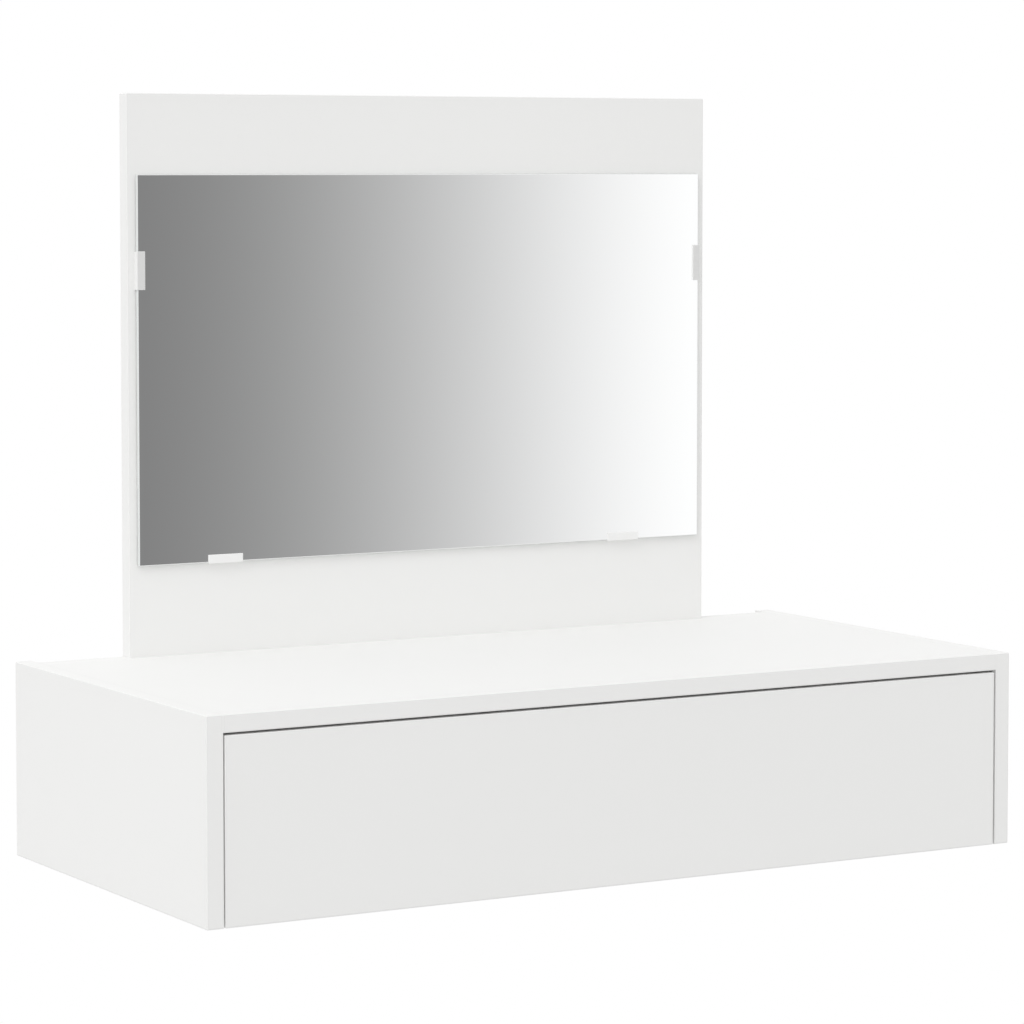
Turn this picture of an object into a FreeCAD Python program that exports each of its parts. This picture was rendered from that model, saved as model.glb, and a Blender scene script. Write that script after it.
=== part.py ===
import FreeCAD, Part
import os
import re

# A wall-hung dressing table: a shallow box of white boards with one wide drawer on roller slides,
# and a board on its top that carries a frameless mirror in four clips.
#
# Frame: +Z up, the wall is the plane Y = 0 and the front faces -Y, X runs across.
# The origin is the middle of the four wall holes, on the wall.

# Driving dimensions in millimetres: name, value, meaning
SIZES = (
    ("table_width", 800, "outside width over both side panels"),
    ("table_depth", 390, "from the wall to the front"),
    ("table_height", 173, "height of the side panels"),
    ("board", 15, "thickness of the panels"),
    ("edge_radius", 1, "rounding of the banded edges"),
    ("back_overlap", 7, "back panel behind the rear edge of the top"),
    ("wall_hole_inset", 65, "wall hole from the back panel's end"),
    ("wall_hole_rise", 30, "lower wall holes above the back panel's lower edge"),
    ("wall_hole_pitch", 70, "from the lower to the upper wall holes"),
    ("wall_hole_diameter", 7, "hole for a wall screw"),
    ("front_gap", 1.5, "gap on each side of the drawer front"),
    ("front_top_gap", 2, "gap above the drawer front"),
    ("hole_gap", 0.1, "room round a fastener in its hole"),
    ("joint_inset", 60, "first fastener of a joint from the panel's end"),
    ("joint_pitch", 32, "from a cam lock to the dowel beside it"),
    ("dowel_diameter", 8, "wood dowel"),
    ("dowel_length", 30, "wood dowel"),
    ("dowel_depth", 12, "part of a dowel in the face of a board"),
    ("dowel_rise", 40, "dowel from the middle of the back panel's end"),
    ("cam_diameter", 15, "cam lock of the panels"),
    ("cam_depth", 12.5, "cam lock of the panels"),
    ("cam_reach", 24, "middle of a cam lock from the end of its board"),
    ("drawer_cam_diameter", 12, "cam lock of the drawer sides"),
    ("drawer_cam_depth", 9.5, "cam lock of the drawer sides"),
    ("driver_diameter", 6, "recess for the driver in a cam lock, across its corners"),
    ("driver_depth", 2, "recess for the driver in a cam lock"),
    ("bolt_thread_diameter", 5, "threaded end of a cam bolt"),
    ("bolt_thread_length", 11, "threaded end of a cam bolt"),
    ("bolt_diameter", 6, "shaft and head of a cam bolt"),
    ("bolt_neck_diameter", 4, "neck behind a cam bolt's head"),
    ("bolt_neck_length", 3, "neck behind a cam bolt's head"),
    ("bolt_head_length", 2.5, "head of a cam bolt past the middle of its cam lock"),
    ("mirror_board_width", 606, "board behind the mirror"),
    ("mirror_board_height", 502, "board behind the mirror"),
    ("board_joint_inset", 60, "dowel from the end of the mirror board"),
    ("board_screw_inset", 110, "first screw from the end of the mirror board"),
    ("board_screw_pitch", 100, "from the first screw to the next one"),
    ("board_screw_diameter", 4, "screw up into the mirror board"),
    ("board_screw_length", 40, "screw up into the mirror board"),
    ("glass_side_margin", 8, "mirror from the side edge of its board"),
    ("glass_top_margin", 72, "mirror from the upper edge of its board"),
    ("glass_bottom_margin", 82, "mirror from the table top"),
    ("glass_thickness", 4, "mirror glass"),
    ("glass_arris", 0.8, "rounding of the mirror's ground edges"),
    ("clip_length", 34, "clip along the edge of the mirror"),
    ("clip_inset", 85, "middle of a clip from the mirror's corner"),
    ("clip_base", 0.6, "thickness of a clip behind the mirror"),
    ("clip_base_reach", 20, "reach of a clip behind the mirror"),
    ("clip_wall", 0.8, "thickness of a clip beside the mirror"),
    ("clip_lip", 1.2, "thickness of a clip in front of the mirror"),
    ("clip_lip_reach", 7, "reach of a clip over the mirror"),
    ("clip_gap", 0.1, "room between the mirror's edge and a clip"),
    ("clip_radius", 0.5, "rounding of a clip"),
    ("clip_screw_inset", 6, "screw from the end of a clip's base"),
    ("clip_screw_pitch", 18, "between the two screws of a clip"),
    ("clip_screw_diameter", 3, "screw of a clip"),
    ("clip_screw_length", 12, "screw of a clip"),
    ("drawer_board", 12, "thickness of the drawer's sides and back"),
    ("finger_room", 28, "drawer box above the lower edge of its front"),
    ("box_top_room", 20, "drawer box below the table top"),
    ("box_rear_room", 15, "drawer box in front of the back panel"),
    ("bottom_thickness", 3, "drawer bottom"),
    ("groove_rise", 10, "groove above the lower edge of the drawer box"),
    ("groove_depth", 6, "groove for the drawer bottom"),
    ("groove_gap", 0.2, "room round the drawer bottom in its groove"),
    ("drawer_fixing_rise", 40, "lower fixings above the lower edge of the drawer box"),
    ("drawer_fixing_drop", 25, "upper fixings below the upper edge of the drawer box"),
    ("box_screw_diameter", 4, "screw through a drawer side into the drawer back"),
    ("box_screw_length", 40, "screw through a drawer side into the drawer back"),
    ("slide_space", 12.5, "room for a slide beside the drawer box"),
    ("rail_steel", 1.2, "thickness of the rails"),
    ("rail_bend", 1, "rounding of the rails' bends"),
    ("rail_setback", 2, "cabinet rail behind the drawer front"),
    ("rail_rear_room", 8, "cabinet rail in front of the back panel"),
    ("rail_clearance", 0.7, "between the moving rails, side to side"),
    ("rail_lift_room", 0.8, "between the moving rails, up and down"),
    ("rail_screw_inset", 60, "first screw from the end of a rail"),
    ("rail_screw_diameter", 3.5, "screw of a rail"),
    ("rail_screw_length", 10, "screw of a rail"),
    ("roller_diameter", 18, "slide roller"),
    ("roller_width", 7, "slide roller"),
    ("roller_rim_inside", 14, "inside of a roller's rim"),
    ("roller_hub", 8, "hub of a roller"),
    ("roller_recess", 1.5, "depth of the recess between rim and hub, on each face"),
    ("roller_inset", 20, "middle of a roller from the end of its rail"),
    ("roller_gap", 0.3, "between a roller and the track above or below it"),
    ("roller_side_gap", 0.5, "between a roller and what holds it, side to side"),
    ("pin_diameter", 4, "roller pin"),
    ("pin_gap", 0.08, "room round a pin in its roller"),
    ("pin_head_diameter", 8, "head of a roller pin"),
    ("pin_head_length", 0.8, "head of a roller pin"),
)

# Places worked out from the sizes, in the frame of the part
PLACES = {
    "half_width": "table_width / 2",
    "inner_half": "half_width - board",
    "front_y": "-table_depth",
    "back_y": "-board",
    "bottom_z": "-wall_hole_pitch / 2 - wall_hole_rise",
    "top_z": "bottom_z + table_height",
    "under_top_z": "top_z - board",
    "top_joint_z": "top_z - board / 2",
    "back_high_z": "under_top_z + back_overlap",
    "back_joint_z": "(bottom_z + back_high_z) / 2",
    "back_joint_y": "back_y / 2",
    "front_joint_y": "front_y + joint_inset",
    "rear_joint_y": "back_y - joint_inset",
    "front_dowel_y": "front_joint_y + joint_pitch",
    "rear_dowel_y": "rear_joint_y - joint_pitch",
    "cam_x": "cam_reach - inner_half",
    "wall_hole_x": "inner_half - wall_hole_inset",
    "wall_hole_z": "wall_hole_pitch / 2",
    "board_half": "mirror_board_width / 2",
    "board_front_y": "back_y - board",
    "board_joint_y": "back_y - board / 2",
    "board_joint_x": "board_joint_inset - board_half",
    "board_screw_x": "board_screw_inset - board_half",
    "board_top_z": "top_z + mirror_board_height",
    "glass_back_y": "board_front_y - clip_base",
    "glass_front_y": "glass_back_y - glass_thickness",
    "clip_front_y": "glass_front_y - clip_lip",
    "glass_half": "board_half - glass_side_margin",
    "glass_low_z": "top_z + glass_bottom_margin",
    "glass_high_z": "board_top_z - glass_top_margin",
    "side_clip_z": "glass_high_z - clip_inset",
    "low_clip_x": "clip_inset - glass_half",
    "clip_outside": "clip_gap + clip_wall",
    "drawer_y": "front_y + board",
    "front_half": "inner_half - front_gap",
    "front_high_z": "under_top_z - front_top_gap",
    "box_half": "inner_half - slide_space",
    "box_inner_half": "box_half - drawer_board",
    "box_side_x": "drawer_board / 2 - box_half",
    "box_low_z": "bottom_z + finger_room",
    "box_high_z": "under_top_z - box_top_room",
    "box_rear_y": "back_y - box_rear_room",
    "box_back_y": "box_rear_y - drawer_board",
    "box_fixing_low_z": "box_low_z + drawer_fixing_rise",
    "box_fixing_high_z": "box_high_z - drawer_fixing_drop",
    "box_cam_y": "drawer_y + cam_reach",
    "groove_low_z": "box_low_z + groove_rise",
    "groove_high_z": "groove_low_z + bottom_thickness + 2 * groove_gap",
    "groove_half": "box_inner_half + groove_depth",
    "groove_front_y": "drawer_y - groove_depth",
    "groove_rear_y": "box_back_y + groove_depth",
    "cabinet_rail_y": "drawer_y + rail_setback",
    "cabinet_rail_end_y": "back_y - rail_rear_room",
    "cabinet_web_x": "rail_steel - inner_half",
    "drawer_web_x": "-box_half - rail_steel",
    "track_z": "box_low_z + rail_steel",
    "roller_z": "track_z + roller_gap + roller_diameter / 2",
    "roof_z": "roller_z + roller_diameter / 2 + roller_gap",
    "ceiling_z": "roof_z + rail_steel + rail_lift_room",
    "cabinet_roller_y": "cabinet_rail_y + roller_inset",
    "cabinet_roller_x": "cabinet_web_x + roller_side_gap",
    "drawer_roller_y": "box_rear_y - roller_inset",
    "drawer_roller_x": "drawer_web_x - roller_side_gap",
}

# Turns that point a round solid, made along its own +Z, the named way
TURNS = {
    "+x": FreeCAD.Rotation(FreeCAD.Vector(0, 1, 0), 90),
    "-x": FreeCAD.Rotation(FreeCAD.Vector(0, 1, 0), -90),
    "+y": FreeCAD.Rotation(FreeCAD.Vector(1, 0, 0), -90),
    "-y": FreeCAD.Rotation(FreeCAD.Vector(1, 0, 0), 90),
    "+z": FreeCAD.Rotation(),
    "-z": FreeCAD.Rotation(FreeCAD.Vector(1, 0, 0), 180),
}

# Outer faces of a piece, as its bounding box names them
OUTER_FACES = ("XMin", "XMax", "YMin", "YMax", "ZMin", "ZMax")

doc = FreeCAD.newDocument("dressing_table")
sheet = doc.addObject("Spreadsheet::Sheet", "sizes")
nodes = []


def fill_sheet():
    """Writes each driving dimension into the sheet, under its name."""
    for row, (name, value, meaning) in enumerate(SIZES, start=1):
        sheet.set(f"A{row}", name)
        sheet.set(f"B{row}", str(value))
        sheet.set(f"C{row}", meaning)
        sheet.setAlias(f"B{row}", name)
    doc.recompute()


def formula(words):
    """Words for sizes and places, as an expression on the cells of the sheet."""
    def cell(match):
        word = match.group(0)
        if word in PLACES:
            return f"({formula(PLACES[word])})"
        return f"sizes.{word}"
    return re.sub("[a-z_]+", cell, words)


def place(piece, corner):
    """Ties the place of a piece to three formulas."""
    for axis, words in zip("xyz", corner):
        piece.setExpression(f".Placement.Base.{axis}", formula(words))


def box(name, low, high):
    """A box between two corners."""
    piece = doc.addObject("Part::Box", name)
    for side, start, end in zip(("Length", "Width", "Height"), low, high):
        piece.setExpression(side, formula(f"({end}) - ({start})"))
    place(piece, low)
    return piece


def turned(kind, name, direction, start, **lengths):
    """A round or six-sided solid that starts at a place and runs the named way."""
    piece = doc.addObject(kind, name)
    piece.Placement = FreeCAD.Placement(FreeCAD.Vector(), TURNS[direction])
    for size, words in lengths.items():
        piece.setExpression(size, formula(words))
    place(piece, start)
    return piece


def cylinder(name, direction, start, diameter, length):
    """A cylinder that starts at a place and runs the named way."""
    return turned("Part::Cylinder", name, direction, start, Radius=f"({diameter}) / 2", Height=length)


def fuse(name, pieces):
    """Several solids as one; a single solid stays as it is."""
    if len(pieces) == 1:
        return pieces[0]
    piece = doc.addObject("Part::MultiFuse", name)
    piece.Shapes = pieces
    return piece


def cut(name, base, tools):
    """A solid with other solids taken out of it."""
    piece = doc.addObject("Part::Cut", name)
    piece.Base = base
    piece.Tool = fuse(name + "_cuts", tools)
    return piece


def group(name, pieces):
    """Separate solids kept together."""
    piece = doc.addObject("Part::Compound", name)
    piece.Links = pieces
    return piece


def mirrored(name, source):
    """The mirror image of a piece on the other side of the table."""
    piece = doc.addObject("Part::Mirroring", name)
    piece.Source = source
    piece.Normal = FreeCAD.Vector(1, 0, 0)
    return piece


def both_sides(name, pieces):
    """Separate solids of the left side with their mirror images."""
    left = group(name + "_left", pieces)
    return group(name, [left, mirrored(name + "_right", left)])


def every_edge(axis, faces):
    """The choice of all edges."""
    return True


def rounded(name, base, radius, chosen=every_edge):
    """A solid with edges rounded that are chosen by their direction and by the outer faces they lie on."""
    doc.recompute()
    size = sheet.get(radius)
    bounds = base.Shape.BoundBox
    edges = []
    for number, edge in enumerate(base.Shape.Edges, start=1):
        run = edge.Vertexes[1].Point - edge.Vertexes[0].Point
        axis = max("xyz", key=lambda letter: abs(getattr(run, letter)))
        faces = set()
        for face in OUTER_FACES:
            distance = getattr(edge.CenterOfMass, face[0].lower()) - getattr(bounds, face)
            if abs(distance) < size / 2:
                faces.add(face)
        if chosen(axis, faces):
            edges.append((number, size, size))
    piece = doc.addObject("Part::Fillet", name)
    piece.Base = base
    piece.Edges = edges
    return piece


def screw_shape(name, size, direction, start, gap):
    """Countersunk head and shank, from the middle of the head's face, larger all round by a gap."""
    diameter = f"{size}_diameter"
    head = turned(
        "Part::Cone", name + "_head", direction, start,
        Radius1=f"{diameter} + {gap}", Radius2=f"{diameter} / 2 + {gap}", Height=f"{diameter} / 2",
    )
    shank = cylinder(name + "_shank", direction, start, f"{diameter} + 2 * {gap}", f"{size}_length + {gap}")
    return fuse(name, [head, shank])


def screw(name, size, direction, start):
    """A countersunk screw with a six-sided recess in its head."""
    solid = screw_shape(name + "_solid", size, direction, start, "0")
    recess = turned(
        "Part::Prism", name + "_recess", direction, start,
        Circumradius=f"{size}_diameter / 2", Height=f"{size}_diameter / 2",
    )
    return cut(name, solid, [recess])


def screw_hole(name, size, direction, start):
    """The hole that a countersunk screw sits in."""
    return screw_shape(name, size, direction, start, "hole_gap")


def node(label, piece):
    """Gives a finished sub-part its name."""
    piece.Label = label
    nodes.append(piece)
    return piece


def end_joint_holes(name, bolts, dowels):
    """Holes in the left side panel's inner face for the bolts and dowels of one board's end."""
    holes = []
    for number, (y, z) in enumerate(bolts):
        holes.append(cylinder(
            f"{name}_bolt_{number}", "-x", ("-inner_half", y, z),
            "bolt_thread_diameter + 2 * hole_gap", "bolt_thread_length + hole_gap",
        ))
    for number, (y, z) in enumerate(dowels):
        holes.append(cylinder(
            f"{name}_dowel_{number}", "-x", ("-inner_half", y, z),
            "dowel_diameter + 2 * hole_gap", "dowel_depth + hole_gap",
        ))
    return holes


def end_grain_holes(name, bolts, dowels):
    """Holes in the left end of a board, for the same bolts and dowels."""
    holes = []
    for number, (y, z) in enumerate(bolts):
        holes.append(cylinder(
            f"{name}_bolt_{number}", "+x", ("-inner_half", y, z),
            "bolt_diameter + 2 * hole_gap", "cam_reach",
        ))
    for number, (y, z) in enumerate(dowels):
        holes.append(cylinder(
            f"{name}_dowel_{number}", "+x", ("-inner_half", y, z),
            "dowel_diameter + 2 * hole_gap", "dowel_length - dowel_depth + hole_gap",
        ))
    return holes


def mirrored_tools(name, tools):
    """Cutting solids of a board's left end together with those of its right end."""
    left = fuse(name + "_left", tools)
    return [left, mirrored(name + "_right", left)]


# Places of the hidden fasteners: the joints at the left ends of the top and of the back panel
TOP_BOLTS = (("front_joint_y", "top_joint_z"), ("rear_joint_y", "top_joint_z"))
TOP_DOWELS = (("front_dowel_y", "top_joint_z"), ("rear_dowel_y", "top_joint_z"))
BACK_BOLTS = (("back_joint_y", "back_joint_z"),)
BACK_DOWELS = tuple(("back_joint_y", f"back_joint_z {sign} dowel_rise") for sign in "+-")
BOX_FIXINGS_Z = ("box_fixing_low_z", "box_fixing_high_z")
CABINET_SCREWS_Y = (
    "cabinet_rail_y + rail_screw_inset",
    "(cabinet_rail_y + cabinet_rail_end_y) / 2",
    "cabinet_rail_end_y - rail_screw_inset",
)
DRAWER_SCREWS_Y = (
    "drawer_y + rail_screw_inset",
    "(drawer_y + box_rear_y) / 2",
    "box_rear_y - rail_screw_inset",
)
BOARD_SCREWS_X = ("board_screw_x", "board_screw_x + board_screw_pitch")

# Places of the two screws of a left clip and of a lower left clip, on the face of the mirror board
CLIP_SCREWS = {
    "side_clip": tuple(
        ("clip_base_reach - clip_screw_inset - glass_half", f"side_clip_z {sign} clip_screw_pitch / 2")
        for sign in "-+"
    ),
    "low_clip": tuple(
        (f"low_clip_x {sign} clip_screw_pitch / 2", "glass_low_z + clip_base_reach - clip_screw_inset")
        for sign in "-+"
    ),
}


def make_side_panels():
    """The two sides: full height and full depth, drilled on their inner faces only."""
    blank = box("side_blank", ("-half_width", "front_y", "bottom_z"), ("-inner_half", "0", "top_z"))
    blank = rounded("side_rounded", blank, "edge_radius", lambda axis, faces: axis == "x" or "XMin" in faces)
    holes = end_joint_holes("side_top_joint", TOP_BOLTS, TOP_DOWELS)
    holes += end_joint_holes("side_back_joint", BACK_BOLTS, BACK_DOWELS)
    for number, y in enumerate(CABINET_SCREWS_Y):
        start = ("cabinet_web_x", y, "roller_z")
        holes.append(screw_hole(f"side_rail_hole_{number}", "rail_screw", "-x", start))
    left = node("left_side_panel", cut("left_side", blank, holes))
    node("right_side_panel", mirrored("right_side", left))


def make_top_panel():
    """The top, between the sides, ends in front of the back panel."""
    blank = box("top_blank", ("-inner_half", "front_y", "under_top_z"), ("inner_half", "back_y", "top_z"))
    blank = rounded("top_rounded", blank, "edge_radius", lambda axis, faces: axis == "x")
    ends = end_grain_holes("top_end", TOP_BOLTS, TOP_DOWELS)
    for number, (y, z) in enumerate(TOP_BOLTS):
        ends.append(cylinder(
            f"top_cam_hole_{number}", "+z", ("cam_x", y, "under_top_z"),
            "cam_diameter + 2 * hole_gap", "cam_depth + hole_gap",
        ))
    ends.append(cylinder(
        "top_board_dowel_hole", "-z", ("board_joint_x", "board_joint_y", "top_z"),
        "dowel_diameter + 2 * hole_gap", "dowel_depth + hole_gap",
    ))
    for number, x in enumerate(BOARD_SCREWS_X):
        start = (x, "board_joint_y", "under_top_z")
        ends.append(screw_hole(f"top_board_screw_hole_{number}", "board_screw", "+z", start))
    node("top_panel", cut("top", blank, mirrored_tools("top_holes", ends)))


def make_back_panel():
    """The back, between the sides and flat on the wall, has the wall holes."""
    blank = box("back_blank", ("-inner_half", "back_y", "bottom_z"), ("inner_half", "0", "back_high_z"))
    ends = end_grain_holes("back_end", BACK_BOLTS, BACK_DOWELS)
    ends.append(cylinder(
        "back_cam_hole", "+y", ("cam_x", "back_y", "back_joint_z"),
        "cam_diameter + 2 * hole_gap", "cam_depth + hole_gap",
    ))
    for number, z in enumerate(("wall_hole_z", "-wall_hole_z")):
        start = ("-wall_hole_x", "back_y", z)
        ends.append(cylinder(f"wall_hole_{number}", "+y", start, "wall_hole_diameter", "board"))
    node("back_panel", cut("back", blank, mirrored_tools("back_holes", ends)))


def make_cam_lock(name, direction, start, bolt_hole, diameter, depth):
    """A cam lock: a disc with a driver's recess and a tunnel for the head of its bolt."""
    disc = cylinder(name + "_disc", direction, start, diameter, depth)
    recess = turned(
        "Part::Prism", name + "_recess", direction, start,
        Circumradius="driver_diameter / 2", Height="driver_depth",
    )
    return cut(name, disc, [bolt_hole, recess])


def make_cam_bolt(name, thread_way, shaft_way, start, neck_start, head_start):
    """A cam bolt: thread in one board, shaft in the end of the other, neck and head in the cam lock."""
    shaft_length = "cam_reach - bolt_neck_length"
    thread = cylinder(name + "_thread", thread_way, start, "bolt_thread_diameter", "bolt_thread_length")
    shaft = cylinder(name + "_shaft", shaft_way, start, "bolt_diameter", shaft_length)
    neck = cylinder(name + "_neck", shaft_way, neck_start, "bolt_neck_diameter", "bolt_neck_length")
    head = cylinder(name + "_head", shaft_way, head_start, "bolt_diameter", "bolt_head_length")
    return fuse(name, [thread, shaft, neck, head])


def make_panel_fasteners():
    """Cam locks, cam bolts and dowels that join the sides to the top and to the back."""
    locks = []
    bolts = []
    neck_x = "cam_x - bolt_neck_length"
    tunnel_length = "cam_reach + bolt_head_length + hole_gap"
    for number, (y, z) in enumerate(TOP_BOLTS + BACK_BOLTS):
        tunnel = cylinder(
            f"panel_tunnel_{number}", "+x", ("-inner_half", y, z),
            "bolt_diameter + 2 * hole_gap", tunnel_length,
        )
        face = ("+z", ("cam_x", y, "under_top_z"))
        if (y, z) in BACK_BOLTS:
            face = ("+y", ("cam_x", "back_y", z))
        locks.append(make_cam_lock(f"panel_lock_{number}", *face, tunnel, "cam_diameter", "cam_depth"))
        bolts.append(make_cam_bolt(
            f"panel_bolt_{number}", "-x", "+x", ("-inner_half", y, z), (neck_x, y, z), ("cam_x", y, z),
        ))
    dowels = []
    for number, (y, z) in enumerate(TOP_DOWELS + BACK_DOWELS):
        start = ("-inner_half - dowel_depth", y, z)
        dowels.append(cylinder(f"panel_dowel_{number}", "+x", start, "dowel_diameter", "dowel_length"))
    node("panel_cam_locks", both_sides("panel_locks", locks))
    node("panel_cam_bolts", both_sides("panel_bolts", bolts))
    node("panel_dowels", both_sides("panel_dowels_all", dowels))


def make_mirror_board():
    """The board that stands on the rear of the top, with its two dowels and four screws."""
    low_corner = ("-board_half", "board_front_y", "top_z")
    blank = box("board_blank", low_corner, ("board_half", "back_y", "board_top_z"))
    outside = {"XMin", "XMax", "ZMax"}
    blank = rounded(
        "board_rounded", blank, "edge_radius", lambda axis, faces: outside & faces and "ZMin" not in faces,
    )
    dowel_start = ("board_joint_x", "board_joint_y", "top_z - dowel_depth")
    dowel = cylinder("board_dowel", "+z", dowel_start, "dowel_diameter", "dowel_length")
    holes = [cylinder(
        "board_dowel_hole", "+z", ("board_joint_x", "board_joint_y", "top_z"),
        "dowel_diameter + 2 * hole_gap", "dowel_length - dowel_depth + hole_gap",
    )]
    screws = []
    for number, x in enumerate(BOARD_SCREWS_X):
        start = (x, "board_joint_y", "under_top_z")
        holes.append(screw_hole(f"board_screw_hole_{number}", "board_screw", "+z", start))
        screws.append(screw(f"board_screw_{number}", "board_screw", "+z", start))
    for clip, screw_places in CLIP_SCREWS.items():
        for number, (x, z) in enumerate(screw_places):
            start = (x, "glass_back_y", z)
            holes.append(screw_hole(f"board_{clip}_hole_{number}", "clip_screw", "+y", start))
    node("mirror_board", cut("mirror_board_cut", blank, mirrored_tools("board_holes", holes)))
    node("mirror_board_dowels", both_sides("board_dowels", [dowel]))
    node("mirror_board_screws", both_sides("board_screws", screws))


def make_clip(name, block_low, block_high, base_high, glass):
    """A clip: a block with rounded front edges and a slot for the mirror, on a base behind the mirror."""
    front_low = (block_low[0], "clip_front_y", block_low[1])
    block = box(name + "_block", front_low, (block_high[0], "board_front_y", block_high[1]))
    block = rounded(name + "_rounded", block, "clip_radius", lambda axis, faces: "YMin" in faces)
    base_low = (block_low[0], "glass_back_y", block_low[1])
    base = box(name + "_base", base_low, (base_high[0], "board_front_y", base_high[1]))
    slot = box(name + "_slot", (glass[0], "glass_front_y", glass[1]), (glass[2], "glass_back_y", glass[3]))
    holes = []
    for number, (x, z) in enumerate(CLIP_SCREWS[name]):
        holes.append(screw_hole(f"{name}_hole_{number}", "clip_screw", "+y", (x, "glass_back_y", z)))
    return cut(name, fuse(name + "_solid", [block, base]), [slot] + holes)


def make_mirror():
    """The glass and the four clips that hold its side edges and its lower edge."""
    glass_low = ("-glass_half", "glass_front_y", "glass_low_z")
    glass = box("glass_blank", glass_low, ("glass_half", "glass_back_y", "glass_high_z"))
    node("mirror_glass", rounded("glass", glass, "glass_arris"))
    ends = ("side_clip_z - clip_length / 2", "side_clip_z + clip_length / 2")
    side = make_clip(
        "side_clip",
        ("-glass_half - clip_outside", ends[0]),
        ("clip_lip_reach - glass_half", ends[1]),
        ("clip_base_reach - glass_half", ends[1]),
        ("-glass_half - clip_gap", ends[0], "clip_lip_reach - glass_half", ends[1]),
    )
    ends = ("low_clip_x - clip_length / 2", "low_clip_x + clip_length / 2")
    low = make_clip(
        "low_clip",
        (ends[0], "glass_low_z - clip_outside"),
        (ends[1], "glass_low_z + clip_lip_reach"),
        (ends[1], "glass_low_z + clip_base_reach"),
        (ends[0], "glass_low_z - clip_gap", ends[1], "glass_low_z + clip_lip_reach"),
    )
    node("left_mirror_clip", side)
    node("right_mirror_clip", mirrored("right_clip", side))
    node("lower_left_mirror_clip", low)
    node("lower_right_mirror_clip", mirrored("lower_right_clip", low))
    screws = []
    for clip, screw_places in CLIP_SCREWS.items():
        for number, (x, z) in enumerate(screw_places):
            start = (x, "glass_back_y", z)
            screws.append(screw(f"{clip}_screw_{number}", "clip_screw", "+y", start))
    node("mirror_clip_screws", both_sides("clip_screws", screws))


def make_cabinet_rails():
    """The fixed rails: channels on the side panels, with a roller near the front."""
    ends = ("cabinet_rail_y", "cabinet_rail_end_y")
    edge_x = "drawer_web_x - rail_clearance"
    high_z = "ceiling_z + rail_steel"
    corner = ("-inner_half", ends[0], "box_low_z")
    web = box("cabinet_web", corner, ("cabinet_web_x", ends[1], high_z))
    track = box("cabinet_track", corner, (edge_x, ends[1], "track_z"))
    ceiling = box("cabinet_ceiling", ("-inner_half", ends[0], "ceiling_z"), (edge_x, ends[1], high_z))
    channel = fuse("cabinet_channel", [web, track, ceiling])
    channel = rounded(
        "cabinet_bent", channel, "rail_bend", lambda axis, faces: axis == "y" and "XMin" in faces,
    )
    pin_start = ("-inner_half", "cabinet_roller_y", "roller_z")
    holes = [cylinder("cabinet_pin_hole", "+x", pin_start, "pin_diameter + 2 * hole_gap", "rail_steel")]
    screws = []
    for number, y in enumerate(CABINET_SCREWS_Y):
        start = ("cabinet_web_x", y, "roller_z")
        holes.append(screw_hole(f"cabinet_rail_hole_{number}", "rail_screw", "-x", start))
        screws.append(screw(f"cabinet_screw_{number}", "rail_screw", "-x", start))
    rail = cut("cabinet_rail", channel, holes)
    node("left_cabinet_rail", rail)
    node("right_cabinet_rail", mirrored("right_cabinet_rail_image", rail))
    node("cabinet_rail_screws", both_sides("cabinet_screws", screws))
    pin_length = "rail_steel + roller_width + 2 * roller_side_gap"
    pin = make_pin("cabinet_pin", "+x", pin_start, pin_length, f"-inner_half + {pin_length}")
    node("cabinet_roller_pins", both_sides("cabinet_pins", [pin]))
    roller = make_roller("cabinet_roller", "+x", ("cabinet_roller_x", "cabinet_roller_y", "roller_z"))
    node("left_cabinet_roller", roller)
    node("right_cabinet_roller", mirrored("right_cabinet_roller_image", roller))


def make_drawer_rails():
    """The moving rails: under the drawer sides, each with a roof that runs on the cabinet roller."""
    ends = ("drawer_y", "box_rear_y")
    roof_edge_x = "cabinet_web_x + rail_clearance"
    low_z = "box_low_z - rail_steel"
    high_corner = ("-box_half", ends[1], "roof_z + rail_steel")
    web = box("drawer_web", ("drawer_web_x", ends[0], low_z), high_corner)
    foot = box("drawer_foot", ("drawer_web_x", ends[0], low_z), ("-box_inner_half", ends[1], "box_low_z"))
    roof = box("drawer_roof", (roof_edge_x, ends[0], "roof_z"), high_corner)
    angle = fuse("drawer_angle", [web, foot, roof])
    angle = rounded(
        "drawer_bent", angle, "rail_bend", lambda axis, faces: axis == "y" and {"ZMin", "ZMax"} & faces,
    )
    pin_start = ("-box_half", "drawer_roller_y", "roller_z")
    holes = [cylinder("drawer_pin_hole", "-x", pin_start, "pin_diameter + 2 * hole_gap", "rail_steel")]
    screws = []
    for number, y in enumerate(DRAWER_SCREWS_Y):
        start = ("box_side_x", y, low_z)
        holes.append(screw_hole(f"drawer_rail_hole_{number}", "rail_screw", "+z", start))
        screws.append(screw(f"drawer_screw_{number}", "rail_screw", "+z", start))
    rail = cut("drawer_rail", angle, holes)
    node("left_drawer_rail", rail)
    node("right_drawer_rail", mirrored("right_drawer_rail_image", rail))
    node("drawer_rail_screws", both_sides("drawer_screws", screws))
    pin_length = "rail_steel + roller_width + 2 * roller_side_gap"
    pin = make_pin("drawer_pin", "-x", pin_start, pin_length, f"-box_half - ({pin_length})")
    node("drawer_roller_pins", both_sides("drawer_pins", [pin]))
    roller = make_roller("drawer_roller", "-x", ("drawer_roller_x", "drawer_roller_y", "roller_z"))
    node("left_drawer_roller", roller)
    node("right_drawer_roller", mirrored("right_drawer_roller_image", roller))


def make_pin(name, direction, start, length, head_x):
    """A roller pin: a shank out of the rail's web and a flat head past the roller."""
    shank = cylinder(name + "_shank", direction, start, "pin_diameter", length)
    head_start = (head_x, start[1], start[2])
    head = cylinder(name + "_head", direction, head_start, "pin_head_diameter", "pin_head_length")
    return fuse(name, [shank, head])


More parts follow.
